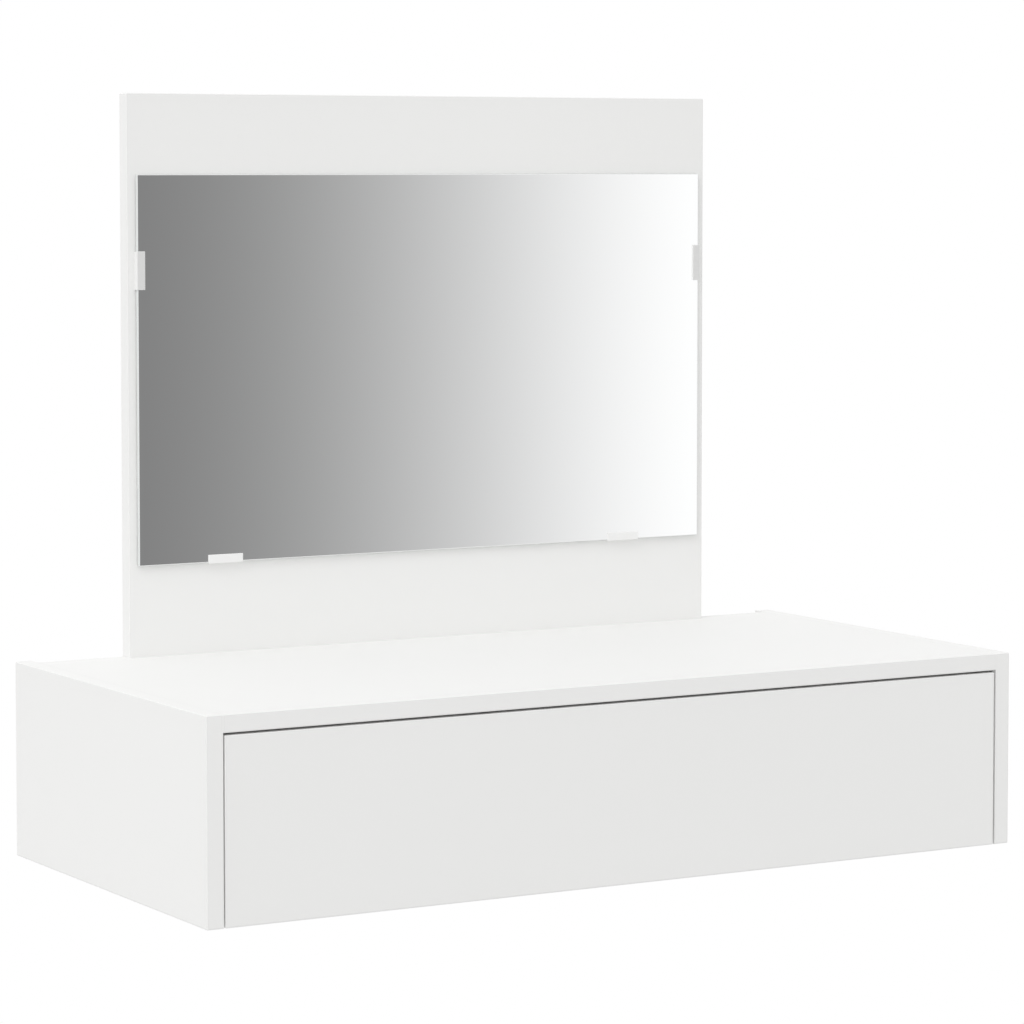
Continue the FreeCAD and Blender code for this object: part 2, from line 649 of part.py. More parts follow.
def make_roller(name, direction, start):
    """A slide roller: rim and hub with a thinner web between them, and the bore for its pin."""
    wheel = cylinder(name + "_wheel", direction, start, "roller_diameter", "roller_width")
    cuts = [cylinder(name + "_bore", direction, start, "pin_diameter + 2 * pin_gap", "roller_width")]
    far_x = f"{start[0]} {direction[0]} (roller_width - roller_recess)"
    for face, x in (("near", start[0]), ("far", far_x)):
        face_start = (x, start[1], start[2])
        side = f"{name}_{face}"
        hollow = cylinder(side + "_hollow", direction, face_start, "roller_rim_inside", "roller_recess")
        hub = cylinder(side + "_hub", direction, face_start, "roller_hub", "roller_recess")
        cuts.append(cut(side + "_recess", hollow, [hub]))
    return cut(name, wheel, cuts)


def make_drawer_front():
    """The drawer front, flush between the sides, reaches below the drawer box for the fingers."""
    low_corner = ("-front_half", "front_y", "bottom_z")
    blank = box("front_blank", low_corner, ("front_half", "drawer_y", "front_high_z"))
    blank = rounded("front_rounded", blank, "edge_radius")
    holes = []
    for number, z in enumerate(BOX_FIXINGS_Z):
        holes.append(cylinder(
            f"front_bolt_hole_{number}", "-y", ("box_side_x", "drawer_y", z),
            "bolt_thread_diameter + 2 * hole_gap", "bolt_thread_length + hole_gap",
        ))
    groove = box("front_groove", ("-groove_half", "groove_front_y", "groove_low_z"),
                 ("groove_half", "drawer_y", "groove_high_z"))
    node("drawer_front", cut("front", blank, mirrored_tools("front_holes", holes) + [groove]))


def make_drawer_sides():
    """The drawer sides, with cam locks at the front end and screws at the rear end."""
    blank = box("box_side_blank", ("-box_half", "drawer_y", "box_low_z"),
                ("-box_inner_half", "box_rear_y", "box_high_z"))
    blank = rounded(
        "box_side_rounded", blank, "edge_radius", lambda axis, faces: axis == "y" and "ZMax" in faces,
    )
    cuts = [box("box_side_groove", ("-groove_half", "drawer_y", "groove_low_z"),
                ("-box_inner_half", "box_rear_y", "groove_high_z"))]
    for number, y in enumerate(DRAWER_SCREWS_Y):
        start = ("box_side_x", y, "box_low_z - rail_steel")
        cuts.append(screw_hole(f"box_side_rail_hole_{number}", "rail_screw", "+z", start))
    locks = []
    bolts = []
    screws = []
    neck_y = "box_cam_y - bolt_neck_length"
    tunnel_length = "cam_reach + bolt_head_length + hole_gap"
    for number, z in enumerate(BOX_FIXINGS_Z):
        bolt_start = ("box_side_x", "drawer_y", z)
        cam_start = ("-box_half", "box_cam_y", z)
        bolt_hole = "bolt_diameter + 2 * hole_gap"
        cuts.append(cylinder(f"box_bolt_hole_{number}", "+y", bolt_start, bolt_hole, "cam_reach"))
        cuts.append(cylinder(
            f"box_cam_hole_{number}", "+x", cam_start,
            "drawer_cam_diameter + 2 * hole_gap", "drawer_cam_depth + hole_gap",
        ))
        tunnel = cylinder(f"box_tunnel_{number}", "+y", bolt_start, bolt_hole, tunnel_length)
        locks.append(make_cam_lock(
            f"box_lock_{number}", "+x", cam_start, tunnel, "drawer_cam_diameter", "drawer_cam_depth",
        ))
        bolts.append(make_cam_bolt(
            f"box_bolt_{number}", "-y", "+y", bolt_start,
            ("box_side_x", neck_y, z), ("box_side_x", "box_cam_y", z),
        ))
        screw_start = ("-box_half", "box_rear_y - drawer_board / 2", z)
        cuts.append(screw_hole(f"box_screw_hole_{number}", "box_screw", "+x", screw_start))
        screws.append(screw(f"box_screw_{number}", "box_screw", "+x", screw_start))
    left = node("left_drawer_side", cut("box_side", blank, cuts))
    node("right_drawer_side", mirrored("right_box_side", left))
    node("drawer_cam_locks", both_sides("box_locks", locks))
    node("drawer_cam_bolts", both_sides("box_bolts", bolts))
    node("drawer_back_screws", both_sides("box_screws", screws))


def make_drawer_back():
    """The drawer back, between the drawer sides."""
    blank = box("box_back_blank", ("-box_inner_half", "box_back_y", "box_low_z"),
                ("box_inner_half", "box_rear_y", "box_high_z"))
    blank = rounded(
        "box_back_rounded", blank, "edge_radius", lambda axis, faces: axis == "x" and "ZMax" in faces,
    )
    holes = []
    for number, z in enumerate(BOX_FIXINGS_Z):
        screw_start = ("-box_half", "box_rear_y - drawer_board / 2", z)
        holes.append(screw_hole(f"box_back_hole_{number}", "box_screw", "+x", screw_start))
    groove = box("box_back_groove", ("-box_inner_half", "box_back_y", "groove_low_z"),
                 ("box_inner_half", "groove_rear_y", "groove_high_z"))
    node("drawer_back", cut("box_back", blank, mirrored_tools("box_back_holes", holes) + [groove]))


def make_drawer_bottom():
    """The drawer bottom, in the grooves of the front, the sides and the back."""
    low = ("groove_gap - groove_half", "groove_front_y + groove_gap", "groove_low_z + groove_gap")
    high = ("groove_half - groove_gap", "groove_rear_y - groove_gap", "groove_high_z - groove_gap")
    node("drawer_bottom", box("box_bottom", low, high))


def check_document():
    """Stops with the names of any object that failed and of any sub-part that isn't sound."""
    doc.recompute()
    failed = [item.Label for item in doc.Objects if {"Invalid", "Error"} & set(item.State)]
    for piece in nodes:
        if piece.Shape.isNull() or not piece.Shape.isValid() or not piece.Shape.Solids:
            failed.append(piece.Label)
    if failed:
        raise SystemExit("failed: " + ", ".join(failed))


def write_parts():
    """Writes each sub-part to a file with its name."""
    os.makedirs("parts", exist_ok=True)
    for piece in nodes:
        piece.Shape.exportStep(f"parts/{piece.Label}.step")
        volume = sum(solid.Volume for solid in piece.Shape.Solids)
        print(f"{piece.Label}: {len(piece.Shape.Solids)} solids, {volume:.0f} mm3")


fill_sheet()
make_side_panels()
make_top_panel()
make_back_panel()
make_panel_fasteners()
make_mirror_board()
make_mirror()
make_cabinet_rails()
make_drawer_rails()
make_drawer_front()
make_drawer_sides()
make_drawer_back()
make_drawer_bottom()
check_document()
write_parts()
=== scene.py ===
# %% [markdown]
# A white dressing table that hangs on a wall: a shallow box with one wide drawer, and an upright
# board with a mirror. The CAD model already has every board, rail and screw in its place, so this
# lesson adds what CAD leaves out: the finish of each board, the silver of the mirror, the small
# moulded and turned pieces, and a plain studio round them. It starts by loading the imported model.

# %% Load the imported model
import math

import bmesh
import bpy
from mathutils import Matrix, Vector


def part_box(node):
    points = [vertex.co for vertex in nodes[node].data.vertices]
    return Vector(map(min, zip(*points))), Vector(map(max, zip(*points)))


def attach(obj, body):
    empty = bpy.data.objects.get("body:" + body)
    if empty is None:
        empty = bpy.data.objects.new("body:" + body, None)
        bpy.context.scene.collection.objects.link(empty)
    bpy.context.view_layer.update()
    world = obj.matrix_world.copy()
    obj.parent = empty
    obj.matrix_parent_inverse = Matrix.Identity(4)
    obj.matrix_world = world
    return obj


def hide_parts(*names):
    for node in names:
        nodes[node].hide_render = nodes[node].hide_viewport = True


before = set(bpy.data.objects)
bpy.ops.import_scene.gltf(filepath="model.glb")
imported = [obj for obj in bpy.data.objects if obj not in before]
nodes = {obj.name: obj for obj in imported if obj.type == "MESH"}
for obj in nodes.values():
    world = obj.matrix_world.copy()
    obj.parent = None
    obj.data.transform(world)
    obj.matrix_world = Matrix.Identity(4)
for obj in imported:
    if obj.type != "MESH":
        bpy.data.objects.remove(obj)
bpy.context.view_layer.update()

# %% [markdown]
# The photograph was taken from the left with a long lens, a little above the mirror. Its upright
# edges are almost parallel, so the camera tilts down by only a few degrees, and a small shift of
# the lens brings the table to the same place in the frame. The numbers come from fitting a camera
# to the edges of the boards.

# %% Camera
CAMERA_PLACE = (-1.7180, -3.1505, 0.5465)
CAMERA_YAW = math.radians(30.096)
CAMERA_TILT = math.radians(3.634)
LENS_MM = 135.43
LENS_SHIFT = -0.10
camera_data = bpy.data.cameras.new("camera")
camera_data.lens = LENS_MM
camera_data.shift_y = LENS_SHIFT
camera = bpy.data.objects.new("camera", camera_data)
camera.location = CAMERA_PLACE
camera.rotation_euler = (math.pi / 2 - CAMERA_TILT, 0, -CAMERA_YAW)
scene = bpy.context.scene
scene.collection.objects.link(camera)
scene.camera = camera
scene.view_settings.view_transform = "Standard"
print("camera at", CAMERA_PLACE, "lens", LENS_MM)

# %% [markdown]
# Shader trees are built from a few steps that repeat: add a node, set its options, fill its inputs.
# One helper does this, and the others stand on it, so that a finish below reads as a short list
# of steps. A step gives back a socket, which the next step takes. Most of a noise lies between 0.3
# and 0.7, so that is the span that finishes spread over a range of their own.

# %% Helpers for shader trees
NOISE_SPAN = (0.3, 0.7)
MM_PER_METRE = 1000


def fill_inputs(tree, node, inputs):
    """Gives each named input of a node a value or a link."""
    for socket, value in inputs.items():
        if isinstance(value, bpy.types.NodeSocket):
            tree.links.new(value, node.inputs[socket])
        else:
            node.inputs[socket].default_value = value


def add_node(tree, kind, inputs, **options):
    """A shader node with its options set and its inputs filled."""
    made = tree.nodes.new("ShaderNode" + kind)
    for option, value in options.items():
        setattr(made, option, value)
    fill_inputs(tree, made, inputs)
    return made


def math_step(tree, operation, first, second, clamp=False):
    """One step of arithmetic."""
    return add_node(tree, "Math", {0: first, 1: second}, operation=operation, use_clamp=clamp).outputs[0]


def vector_step(tree, operation, first, second):
    """One step of arithmetic with vectors."""
    return add_node(tree, "VectorMath", {0: first, 1: second}, operation=operation).outputs[0]


def mix_colours(tree, mask, first, second):
    """The first colour where the mask is 0 and the second one where it is 1."""
    # The sockets of a Mix node share names, so they go by number: 6 and 7 take colours
    return add_node(tree, "Mix", {0: mask, 6: first, 7: second}, data_type="RGBA").outputs[2]


def mix_values(tree, mask, first, second):
    """The first value where the mask is 0 and the second one where it is 1."""
    # Sockets 2 and 3 of a Mix node take values
    return add_node(tree, "Mix", {0: mask, 2: first, 3: second}, data_type="FLOAT").outputs[0]


def spread(tree, value, start, end, low=0.0, high=1.0, smooth=False):
    """A value spread from one range over another one, straight or with soft ends."""
    kind = "SMOOTHSTEP" if smooth else "LINEAR"
    inputs = {"Value": value, "From Min": start, "From Max": end, "To Min": low, "To Max": high}
    return add_node(tree, "MapRange", inputs, interpolation_type=kind).outputs[0]


def per_metre(size_mm):
    """The scale of a texture whose features are about this large."""
    return MM_PER_METRE / size_mm


def noise(tree, place, size_mm, detail=2.0, roughness=0.5):
    """Noise with features about this large."""
    inputs = {"Vector": place, "Scale": per_metre(size_mm), "Detail": detail, "Roughness": roughness}
    return add_node(tree, "TexNoise", inputs).outputs[0]


def stretched(tree, place, scale):
    """A place with its axes stretched, for a pattern that runs one way."""
    return add_node(tree, "Mapping", {"Vector": place, "Scale": scale}).outputs[0]


print("shader helpers ready")

# %% [markdown]
# A finish is a material with one Principled shader, and its patterns sit on Object coordinates,
# so they stay on the piece when it moves. A node group is a small tool of its own, with named inputs
# and outputs, that many finishes can share.

# %% Helpers for finishes and groups
def new_finish(name):
    """A material with its tree, its Principled shader and the Object coordinates of the piece."""
    material = bpy.data.materials.new(name)
    material.use_nodes = True
    tree = material.node_tree
    place = add_node(tree, "TexCoord", {}).outputs["Object"]
    return material, tree, tree.nodes["Principled BSDF"], place


def looks_along(tree, axis):
    """How far a face looks along an axis of the table, from -1 to 1."""
    normal = add_node(tree, "TexCoord", {}).outputs["Normal"]
    return add_node(tree, "SeparateXYZ", {0: normal}).outputs[axis]


def add_bump(tree, shader, height, depth_mm, strength):
    """Small unevenness of the surface."""
    inputs = {"Height": height, "Strength": strength, "Distance": depth_mm / MM_PER_METRE}
    fill_inputs(tree, shader, {"Normal": add_node(tree, "Bump", inputs).outputs[0]})


def new_group(name, inputs, outputs):
    """A node group, with the sockets that bring its inputs and the node that takes its outputs."""
    group = bpy.data.node_groups.new(name, "ShaderNodeTree")
    for label in inputs:
        group.interface.new_socket(label, in_out="INPUT", socket_type="NodeSocketVector")
    for label, kind in outputs.items():
        group.interface.new_socket(label, in_out="OUTPUT", socket_type="NodeSocket" + kind)
    return group, group.nodes.new("NodeGroupInput").outputs, group.nodes.new("NodeGroupOutput")


def use_group(tree, group, inputs):
    """A node group placed in a material."""
    made = tree.nodes.new("ShaderNodeGroup")
    made.node_tree = group
    fill_inputs(tree, made, inputs)
    return made.outputs


def dress(node, material):
    """Gives a CAD node its finish."""
    nodes[node].material_slots[0].material = material


print("finish helpers ready")

# %% [markdown]
# The light is that of a white product studio. A soft world lights every side, a little brighter
# from the upper left, where a large lamp stands: the top is the brightest face, then the left side,
# then the front. Most of the light comes from the world, because a world leaves no hard shadows. The
# camera sees the world as plain white, and so do the mirror and the metal.

# %% World and lamp
WHITE = (1, 1, 1, 1)
AMBIENT = 0.835
KEY_PLACE = (-5.23, -3.34, 6.77)
KEY_SIZE = 4.8
KEY_WATTS = 150
SLOPE = 0.27
BRIGHT_SIDE = (-0.64, -0.20, 0.74)


def sees_backdrop(tree):
    """A mask of the rays that show the white backdrop: straight views, reflections and glass."""
    rays = add_node(tree, "LightPath", {}).outputs
    seen = math_step(tree, "MAXIMUM", rays["Is Camera Ray"], rays["Is Glossy Ray"])
    return math_step(tree, "MAXIMUM", seen, rays["Is Transmission Ray"])


world = bpy.data.worlds.new("white_studio")
world.use_nodes = True
scene.world = world
sky = world.node_tree
sky.nodes.clear()
way = add_node(sky, "TexCoord", {}).outputs["Generated"]
towards = add_node(sky, "VectorMath", {0: way, 1: BRIGHT_SIDE}, operation="DOT_PRODUCT").outputs["Value"]
level = spread(sky, towards, -1.0, 1.0, AMBIENT - SLOPE, AMBIENT + SLOPE)
soft_light = add_node(sky, "Background", {"Color": WHITE, "Strength": level}).outputs[0]
white_ground = add_node(sky, "Background", {"Color": WHITE, "Strength": 1.0}).outputs[0]
sky_mix = add_node(sky, "MixShader", {0: sees_backdrop(sky), 1: soft_light, 2: white_ground}).outputs[0]
add_node(sky, "OutputWorld", {"Surface": sky_mix})

key_data = bpy.data.lights.new("key_lamp", "AREA")
key_data.shape = "DISK"
key_data.size = KEY_SIZE
key_data.energy = KEY_WATTS
key = bpy.data.objects.new("key_lamp", key_data)
key.location = KEY_PLACE
key.rotation_euler = (-Vector(KEY_PLACE)).to_track_quat("-Z", "Y").to_euler()
scene.collection.objects.link(key)
print("ambient", AMBIENT, "key lamp", KEY_WATTS, "W")

# %% [markdown]
# The table hangs at sitting height, so the floor lies well below it. It is matt and pale and keeps
# the table's soft shadow. Further out it turns into the same plain white as the world, so that the
# camera sees no line where the floor ends. From below it is clear, so a low view shows the underside.

# %% Floor
FLOOR_Z = -0.642
FLOOR_HALF = 20.0
FLOOR_PALE = (0.71, 0.71, 0.71, 1)
FLOOR_MOTTLE = (0.69, 0.69, 0.69, 1)
FLOOR_CLOUD_MM = 300
FLOOR_ROUGHNESS = 0.9
NEAR_WHITE = 0.5
WHITE_FROM = 0.8
WHITE_TO = 1.6


def flat_sheet(name, width, height, turn, place):
    """A flat rectangle of the stage, turned and then put in its place."""
    mesh = bpy.data.meshes.new(name)
    sheet = bmesh.new()
    bmesh.ops.create_grid(sheet, x_segments=1, y_segments=1, size=1)
    bmesh.ops.scale(sheet, verts=sheet.verts, vec=(width / 2, height / 2, 1))
    bmesh.ops.rotate(sheet, verts=sheet.verts, matrix=Matrix.Rotation(turn, 3, "X"))
    bmesh.ops.translate(sheet, verts=sheet.verts, vec=place)
    sheet.to_mesh(mesh)
    sheet.free()
    piece = bpy.data.objects.new(name, mesh)
    scene.collection.objects.link(piece)
    return piece


def floor_paint():
    """Matt pale paint that turns into the white backdrop further out."""
    material, tree, shader, place = new_finish("floor_paint")
    paint = mix_colours(tree, noise(tree, place, FLOOR_CLOUD_MM, detail=3.0), FLOOR_PALE, FLOOR_MOTTLE)
    fill_inputs(tree, shader, {
        "Base Color": paint, "Roughness": FLOOR_ROUGHNESS, "Specular IOR Level": 0.0,
    })
    away = vector_step(tree, "MULTIPLY", place, (1, 1, 0))
    distance = add_node(tree, "VectorMath", {0: away}, operation="LENGTH").outputs["Value"]
    far = spread(tree, distance, WHITE_FROM, WHITE_TO, NEAR_WHITE, 1.0, smooth=True)
    share = math_step(tree, "MULTIPLY", far, sees_backdrop(tree))
    glow = add_node(tree, "Emission", {"Color": WHITE, "Strength": 1.0}).outputs[0]
    seen_above = add_node(tree, "MixShader", {0: share, 1: shader.outputs[0], 2: glow}).outputs[0]
    below = add_node(tree, "NewGeometry", {}).outputs["Backfacing"]
    clear = add_node(tree, "BsdfTransparent", {}).outputs[0]
    surface = add_node(tree, "MixShader", {0: below, 1: seen_above, 2: clear}).outputs[0]
    fill_inputs(tree, tree.nodes["Material Output"], {"Surface": surface})
    return material


floor = flat_sheet("floor", 2 * FLOOR_HALF, 2 * FLOOR_HALF, 0.0, (0, 0, FLOOR_Z))
floor.data.materials.append(floor_paint())
print("floor at", FLOOR_Z)

# %% [markdown]
# A mirror has no colour of its own: it shows what stands opposite. In the photograph that is a
# smooth change from grey to white, so a wide card with soft grey and white stripes stands before the
# table, and the mirror shows such a change from other sides too. The card fades to white at its rims,
# and only a first reflection sees its stripes: the light that the mirror throws on the top stays white.

# %% Card that the mirror looks at
CARD_Y = -1.2
CARD_MIDDLE = 0.5
CARD_HALF_WIDTH = 2.6
CARD_HALF_HEIGHT = 1.1
CARD_FADE = 0.4
GREY_INSET = 0.0055
WHITE_INSET = 0.0081
GREY_SHADE = 0.520
WHITE_SHADE = 1.021
CURVED_SHARE = 0.5
DISPLAY_GAMMA = 2.2
mirror_low, mirror_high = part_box("mirror_glass")


def seen_on_card(mirror_x):
    """The place on the card that the camera sees at a place on the mirror."""
    share = (mirror_low.y - CARD_Y) / (mirror_low.y - CAMERA_PLACE[1])
    return mirror_x + share * (mirror_x - CAMERA_PLACE[0])


def rim_fade(tree, along, middle, half):
    """A mask that rises to 1 towards both rims of the card along one axis."""
    away = math_step(tree, "ABSOLUTE", math_step(tree, "SUBTRACT", along, middle), 0.0)
    return spread(tree, away, half - CARD_FADE, half, smooth=True)


def striped_card():
    """A glow with stripes from grey to white and back, each flank half straight and half S-shaped."""
    material, tree, shader, place = new_finish("striped_card")
    tree.nodes.remove(shader)
    axes = add_node(tree, "SeparateXYZ", {0: place}).outputs
    grey_x = seen_on_card(mirror_low.x + GREY_INSET)
    flank = seen_on_card(mirror_high.x - WHITE_INSET) - grey_x
    swing = math_step(tree, "PINGPONG", math_step(tree, "SUBTRACT", axes["X"], grey_x), flank)
    straight = spread(tree, swing, 0.0, flank, GREY_SHADE, WHITE_SHADE)
    curved = spread(tree, swing, 0.0, flank, GREY_SHADE, WHITE_SHADE, smooth=True)
    shade = math_step(tree, "POWER", mix_values(tree, CURVED_SHARE, straight, curved), DISPLAY_GAMMA)
    ends = rim_fade(tree, axes["X"], 0.0, CARD_HALF_WIDTH)
    rims = rim_fade(tree, axes["Z"], CARD_MIDDLE, CARD_HALF_HEIGHT)
    bounces = add_node(tree, "LightPath", {}).outputs["Ray Depth"]
    later = math_step(tree, "GREATER_THAN", bounces, 1.0)
    plain = math_step(tree, "MAXIMUM", math_step(tree, "MAXIMUM", ends, rims), later)
    level = mix_values(tree, plain, shade, 1.0)
    glow = add_node(tree, "Emission", {"Color": WHITE, "Strength": level}).outputs[0]
    fill_inputs(tree, tree.nodes["Material Output"], {"Surface": glow})
    return material


card = flat_sheet(
    "mirror_card", 2 * CARD_HALF_WIDTH, 2 * CARD_HALF_HEIGHT, math.pi / 2, (0, CARD_Y, CARD_MIDDLE),
)
card.visible_camera = False
card.visible_diffuse = False
card.visible_shadow = False
card.data.materials.append(striped_card())
print("mirror card", 2 * CARD_HALF_WIDTH, "by", 2 * CARD_HALF_HEIGHT, "m at", CARD_Y)

# %% [markdown]
# The boards are chipboard faced with white melamine: a hard satin skin pressed with a very fine
# pearl, about half a millimetre across. This group gives the pearl as a height for the bump, a tone
# that changes a little over a hand's width, and a gloss that changes where hands have wiped it.

# %% Group: melamine skin
PEARL_MM = 0.6
TONE_MM = 140
WIPE_MM = 60
WIPE_STRETCH = (1.0, 1.0, 3.0)
melamine_skin, given, result = new_group(
    "melamine_skin", ["Place"], {"Pearl": "Float", "Tone": "Float", "Gloss": "Float"},
)
wiped = stretched(melamine_skin, given["Place"], WIPE_STRETCH)
fill_inputs(melamine_skin, result, {
    "Pearl": noise(melamine_skin, given["Place"], PEARL_MM, roughness=0.6),
    "Tone": noise(melamine_skin, given["Place"], TONE_MM, detail=4.0),
    "Gloss": noise(melamine_skin, wiped, WIPE_MM, detail=5.0, roughness=0.65),
})
print("group", melamine_skin.name)

# %% [markdown]
# The narrow edges of a board are closed with a thin white band. Where the band meets the face there
# is a hairline, and hands leave the softest grey beside it. For a point on a box, the second
# smallest of its distances to the box's sides is the distance to the nearest edge, so the group
# needs only the box's two corners.

# %% Group: banded edges
BAND_MM = 1.1
HAIRLINE_MM = 0.12
HANDLED_MM = 22


def of_three(tree, operation, parts):
    """The same step of arithmetic over the three parts of a vector."""
    return math_step(tree, operation, math_step(tree, operation, parts[0], parts[1]), parts[2])


banded_edges, given, result = new_group(
    "banded_edges", ["Place", "Low", "High"], {"Hairline": "Float", "Handled": "Float"},
)
from_low = vector_step(banded_edges, "SUBTRACT", given["Place"], given["Low"])
from_high = vector_step(banded_edges, "SUBTRACT", given["High"], given["Place"])
nearest = vector_step(banded_edges, "MINIMUM", from_low, from_high)
sides = add_node(banded_edges, "SeparateXYZ", {0: nearest}).outputs
ends = math_step(banded_edges, "ADD", of_three(banded_edges, "MINIMUM", sides),
                 of_three(banded_edges, "MAXIMUM", sides))
edge_distance = math_step(banded_edges, "SUBTRACT", of_three(banded_edges, "ADD", sides), ends)
hairline_inputs = {0: edge_distance, 1: BAND_MM / MM_PER_METRE, 2: HAIRLINE_MM / MM_PER_METRE}
hairline = add_node(banded_edges, "Math", hairline_inputs, operation="COMPARE")
fill_inputs(banded_edges, result, {
    "Hairline": hairline.outputs[0],
    "Handled": spread(banded_edges, edge_distance, 0.0, HANDLED_MM / MM_PER_METRE, 1.0, 0.0, smooth=True),
})
print("group", banded_edges.name)

# %% [markdown]
# An edge that faces the wall is left raw: it shows the pressed chips, tan and brown, a few
# millimetres across. Cells of a Voronoi texture, bent by noise, look like such chips.

# %% Group: raw chipboard
CHIP_MM = 2.2
CHIP_BEND_MM = 2.0
CHIP_DARK = (0.30, 0.20, 0.11, 1)
CHIP_MIDDLE = (0.50, 0.37, 0.22, 1)
CHIP_PALE = (0.66, 0.52, 0.34, 1)
raw_chips, given, result = new_group("raw_chips", ["Place"], {"Colour": "Color", "Height": "Float"})
bend_noise = add_node(raw_chips, "TexNoise", {"Vector": given["Place"], "Scale": per_metre(2 * CHIP_MM)})
bend_length = CHIP_BEND_MM / MM_PER_METRE
bend = vector_step(raw_chips, "MULTIPLY", bend_noise.outputs["Color"], (bend_length,) * 3)
bent_place = vector_step(raw_chips, "ADD", given["Place"], bend)
chips = add_node(raw_chips, "TexVoronoi", {"Vector": bent_place, "Scale": per_metre(CHIP_MM)}).outputs
chip_shade = add_node(raw_chips, "ValToRGB", {0: chips["Color"]})
chip_shade.color_ramp.elements[0].color = CHIP_DARK
chip_shade.color_ramp.elements[1].color = CHIP_PALE
chip_shade.color_ramp.elements.new(0.5).color = CHIP_MIDDLE
fill_inputs(raw_chips, result, {"Colour": chip_shade.outputs[0], "Height": chips["Distance"]})
print("group", raw_chips.name)

# %% [markdown]
# Each board gets its own copy of the white finish, because the groups want to know where its edges
# are. The colour is a clean white, a touch warm. The pearl is only a few hundredths of a millimetre
# deep, so the bump is weak and shows in the highlights, as it does on the real boards.

# %% White boards
BOARD_WHITE = (0.862, 0.862, 0.853, 1)
BOARD_SHADE = (0.838, 0.838, 0.828, 1)
LINE_SHADE = (0.70, 0.70, 0.69, 1)
LINE_SHARE = 0.45
HANDLED_SHARE = 0.35
TONE_SHARE = 0.3
SATIN = (0.48, 0.60)
RAW_ROUGHNESS = 0.85
SATIN_SPECULAR = 0.35
FACING = 0.9


def board_finish(board, raw_rear):
    """White melamine for one board, with raw chips on the edge that faces the wall if wanted."""
    material, tree, shader, place = new_finish(board + "_finish")
    low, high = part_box(board)
    skin = use_group(tree, melamine_skin, {"Place": place})
    edges = use_group(tree, banded_edges, {"Place": place, "Low": low, "High": high})
    touched = math_step(tree, "MULTIPLY", edges["Handled"], skin["Gloss"])
    touched = math_step(tree, "MULTIPLY", touched, HANDLED_SHARE)
    clouds = math_step(tree, "MULTIPLY", skin["Tone"], TONE_SHARE)
    shade = math_step(tree, "ADD", touched, clouds, clamp=True)
    line = math_step(tree, "MULTIPLY", edges["Hairline"], LINE_SHARE)
    colour = mix_colours(tree, line, mix_colours(tree, shade, BOARD_WHITE, BOARD_SHADE), LINE_SHADE)
    height = math_step(tree, "SUBTRACT", skin["Pearl"], edges["Hairline"])
    roughness = spread(tree, skin["Gloss"], 0.0, 1.0, *SATIN)
    if raw_rear:
        chips = use_group(tree, raw_chips, {"Place": place})
        raw = math_step(tree, "GREATER_THAN", looks_along(tree, "Y"), FACING)
        colour = mix_colours(tree, raw, colour, chips["Colour"])
        height = mix_values(tree, raw, height, chips["Height"])
        roughness = mix_values(tree, raw, roughness, RAW_ROUGHNESS)
    fill_inputs(tree, shader, {
        "Base Color": colour, "Roughness": roughness, "Specular IOR Level": SATIN_SPECULAR,
    })
    add_bump(tree, shader, height, depth_mm=0.04, strength=0.25)
    return material


for board in ("left_side_panel", "right_side_panel"):
    dress(board, board_finish(board, raw_rear=True))
for board in (
    "top_panel", "back_panel", "mirror_board",
    "drawer_front", "left_drawer_side", "right_drawer_side", "drawer_back",
):
    dress(board, board_finish(board, raw_rear=False))
print("white boards dressed")

# %% [markdown]
# The mirror is float glass, silvered on its back. From the front the eye sees only the silver, so
# the front face is a clean metal with the faintest smudges; the ground edges stay glass, satin and a
# little green, and the back is covered with pale grey paint. The way a face looks tells the three apart.

# %% Mirror
SILVER = (0.95, 0.955, 0.955, 1)
GROUND_EDGE = (0.75, 0.77, 0.76, 1)
BACK_PAINT = (0.60, 0.61, 0.62, 1)
BACK_PAINT_PALE = (0.70, 0.71, 0.72, 1)
SMUDGE_MM = 35
SMUDGE_SPAN = (0.5, 0.8)
BRUSH_MM = 3
BRUSH_STRETCH = (0.1, 1.0, 1.0)
GROUND_MM = 0.5
POLISHED = (0.0, 0.035)
GROUND_ROUGHNESS = 0.38
PAINT_ROUGHNESS = 0.62


def mirror_finish():
    """Silver in front, ground glass round the edges, brushed grey paint behind."""
    material, tree, shader, place = new_finish("silvered_glass")
    depth = looks_along(tree, "Y")
    front = math_step(tree, "LESS_THAN", depth, -FACING)
    behind = math_step(tree, "GREATER_THAN", depth, FACING)
    smudges = noise(tree, place, SMUDGE_MM, detail=6.0, roughness=0.6)
    brushed = noise(tree, stretched(tree, place, BRUSH_STRETCH), BRUSH_MM, detail=3.0)
    ground = noise(tree, place, GROUND_MM)
    paint = mix_colours(tree, brushed, BACK_PAINT, BACK_PAINT_PALE)
    colour = mix_colours(tree, behind, mix_colours(tree, front, GROUND_EDGE, SILVER), paint)
    polish = spread(tree, smudges, *SMUDGE_SPAN, *POLISHED)
    roughness = mix_values(tree, front, GROUND_ROUGHNESS, polish)
    roughness = mix_values(tree, behind, roughness, PAINT_ROUGHNESS)
    height = mix_values(tree, front, mix_values(tree, behind, ground, brushed), 0.0)
    fill_inputs(tree, shader, {"Base Color": colour, "Roughness": roughness, "Metallic": front})
    add_bump(tree, shader, height, depth_mm=0.05, strength=0.3)
    return material


dress("mirror_glass", mirror_finish())
print("mirror silvered")

# %% [markdown]
# Clips and rollers are moulded. A mould leaves a fine even grain on the skin and soft clouds where
# the plastic flowed, and one group gives both.

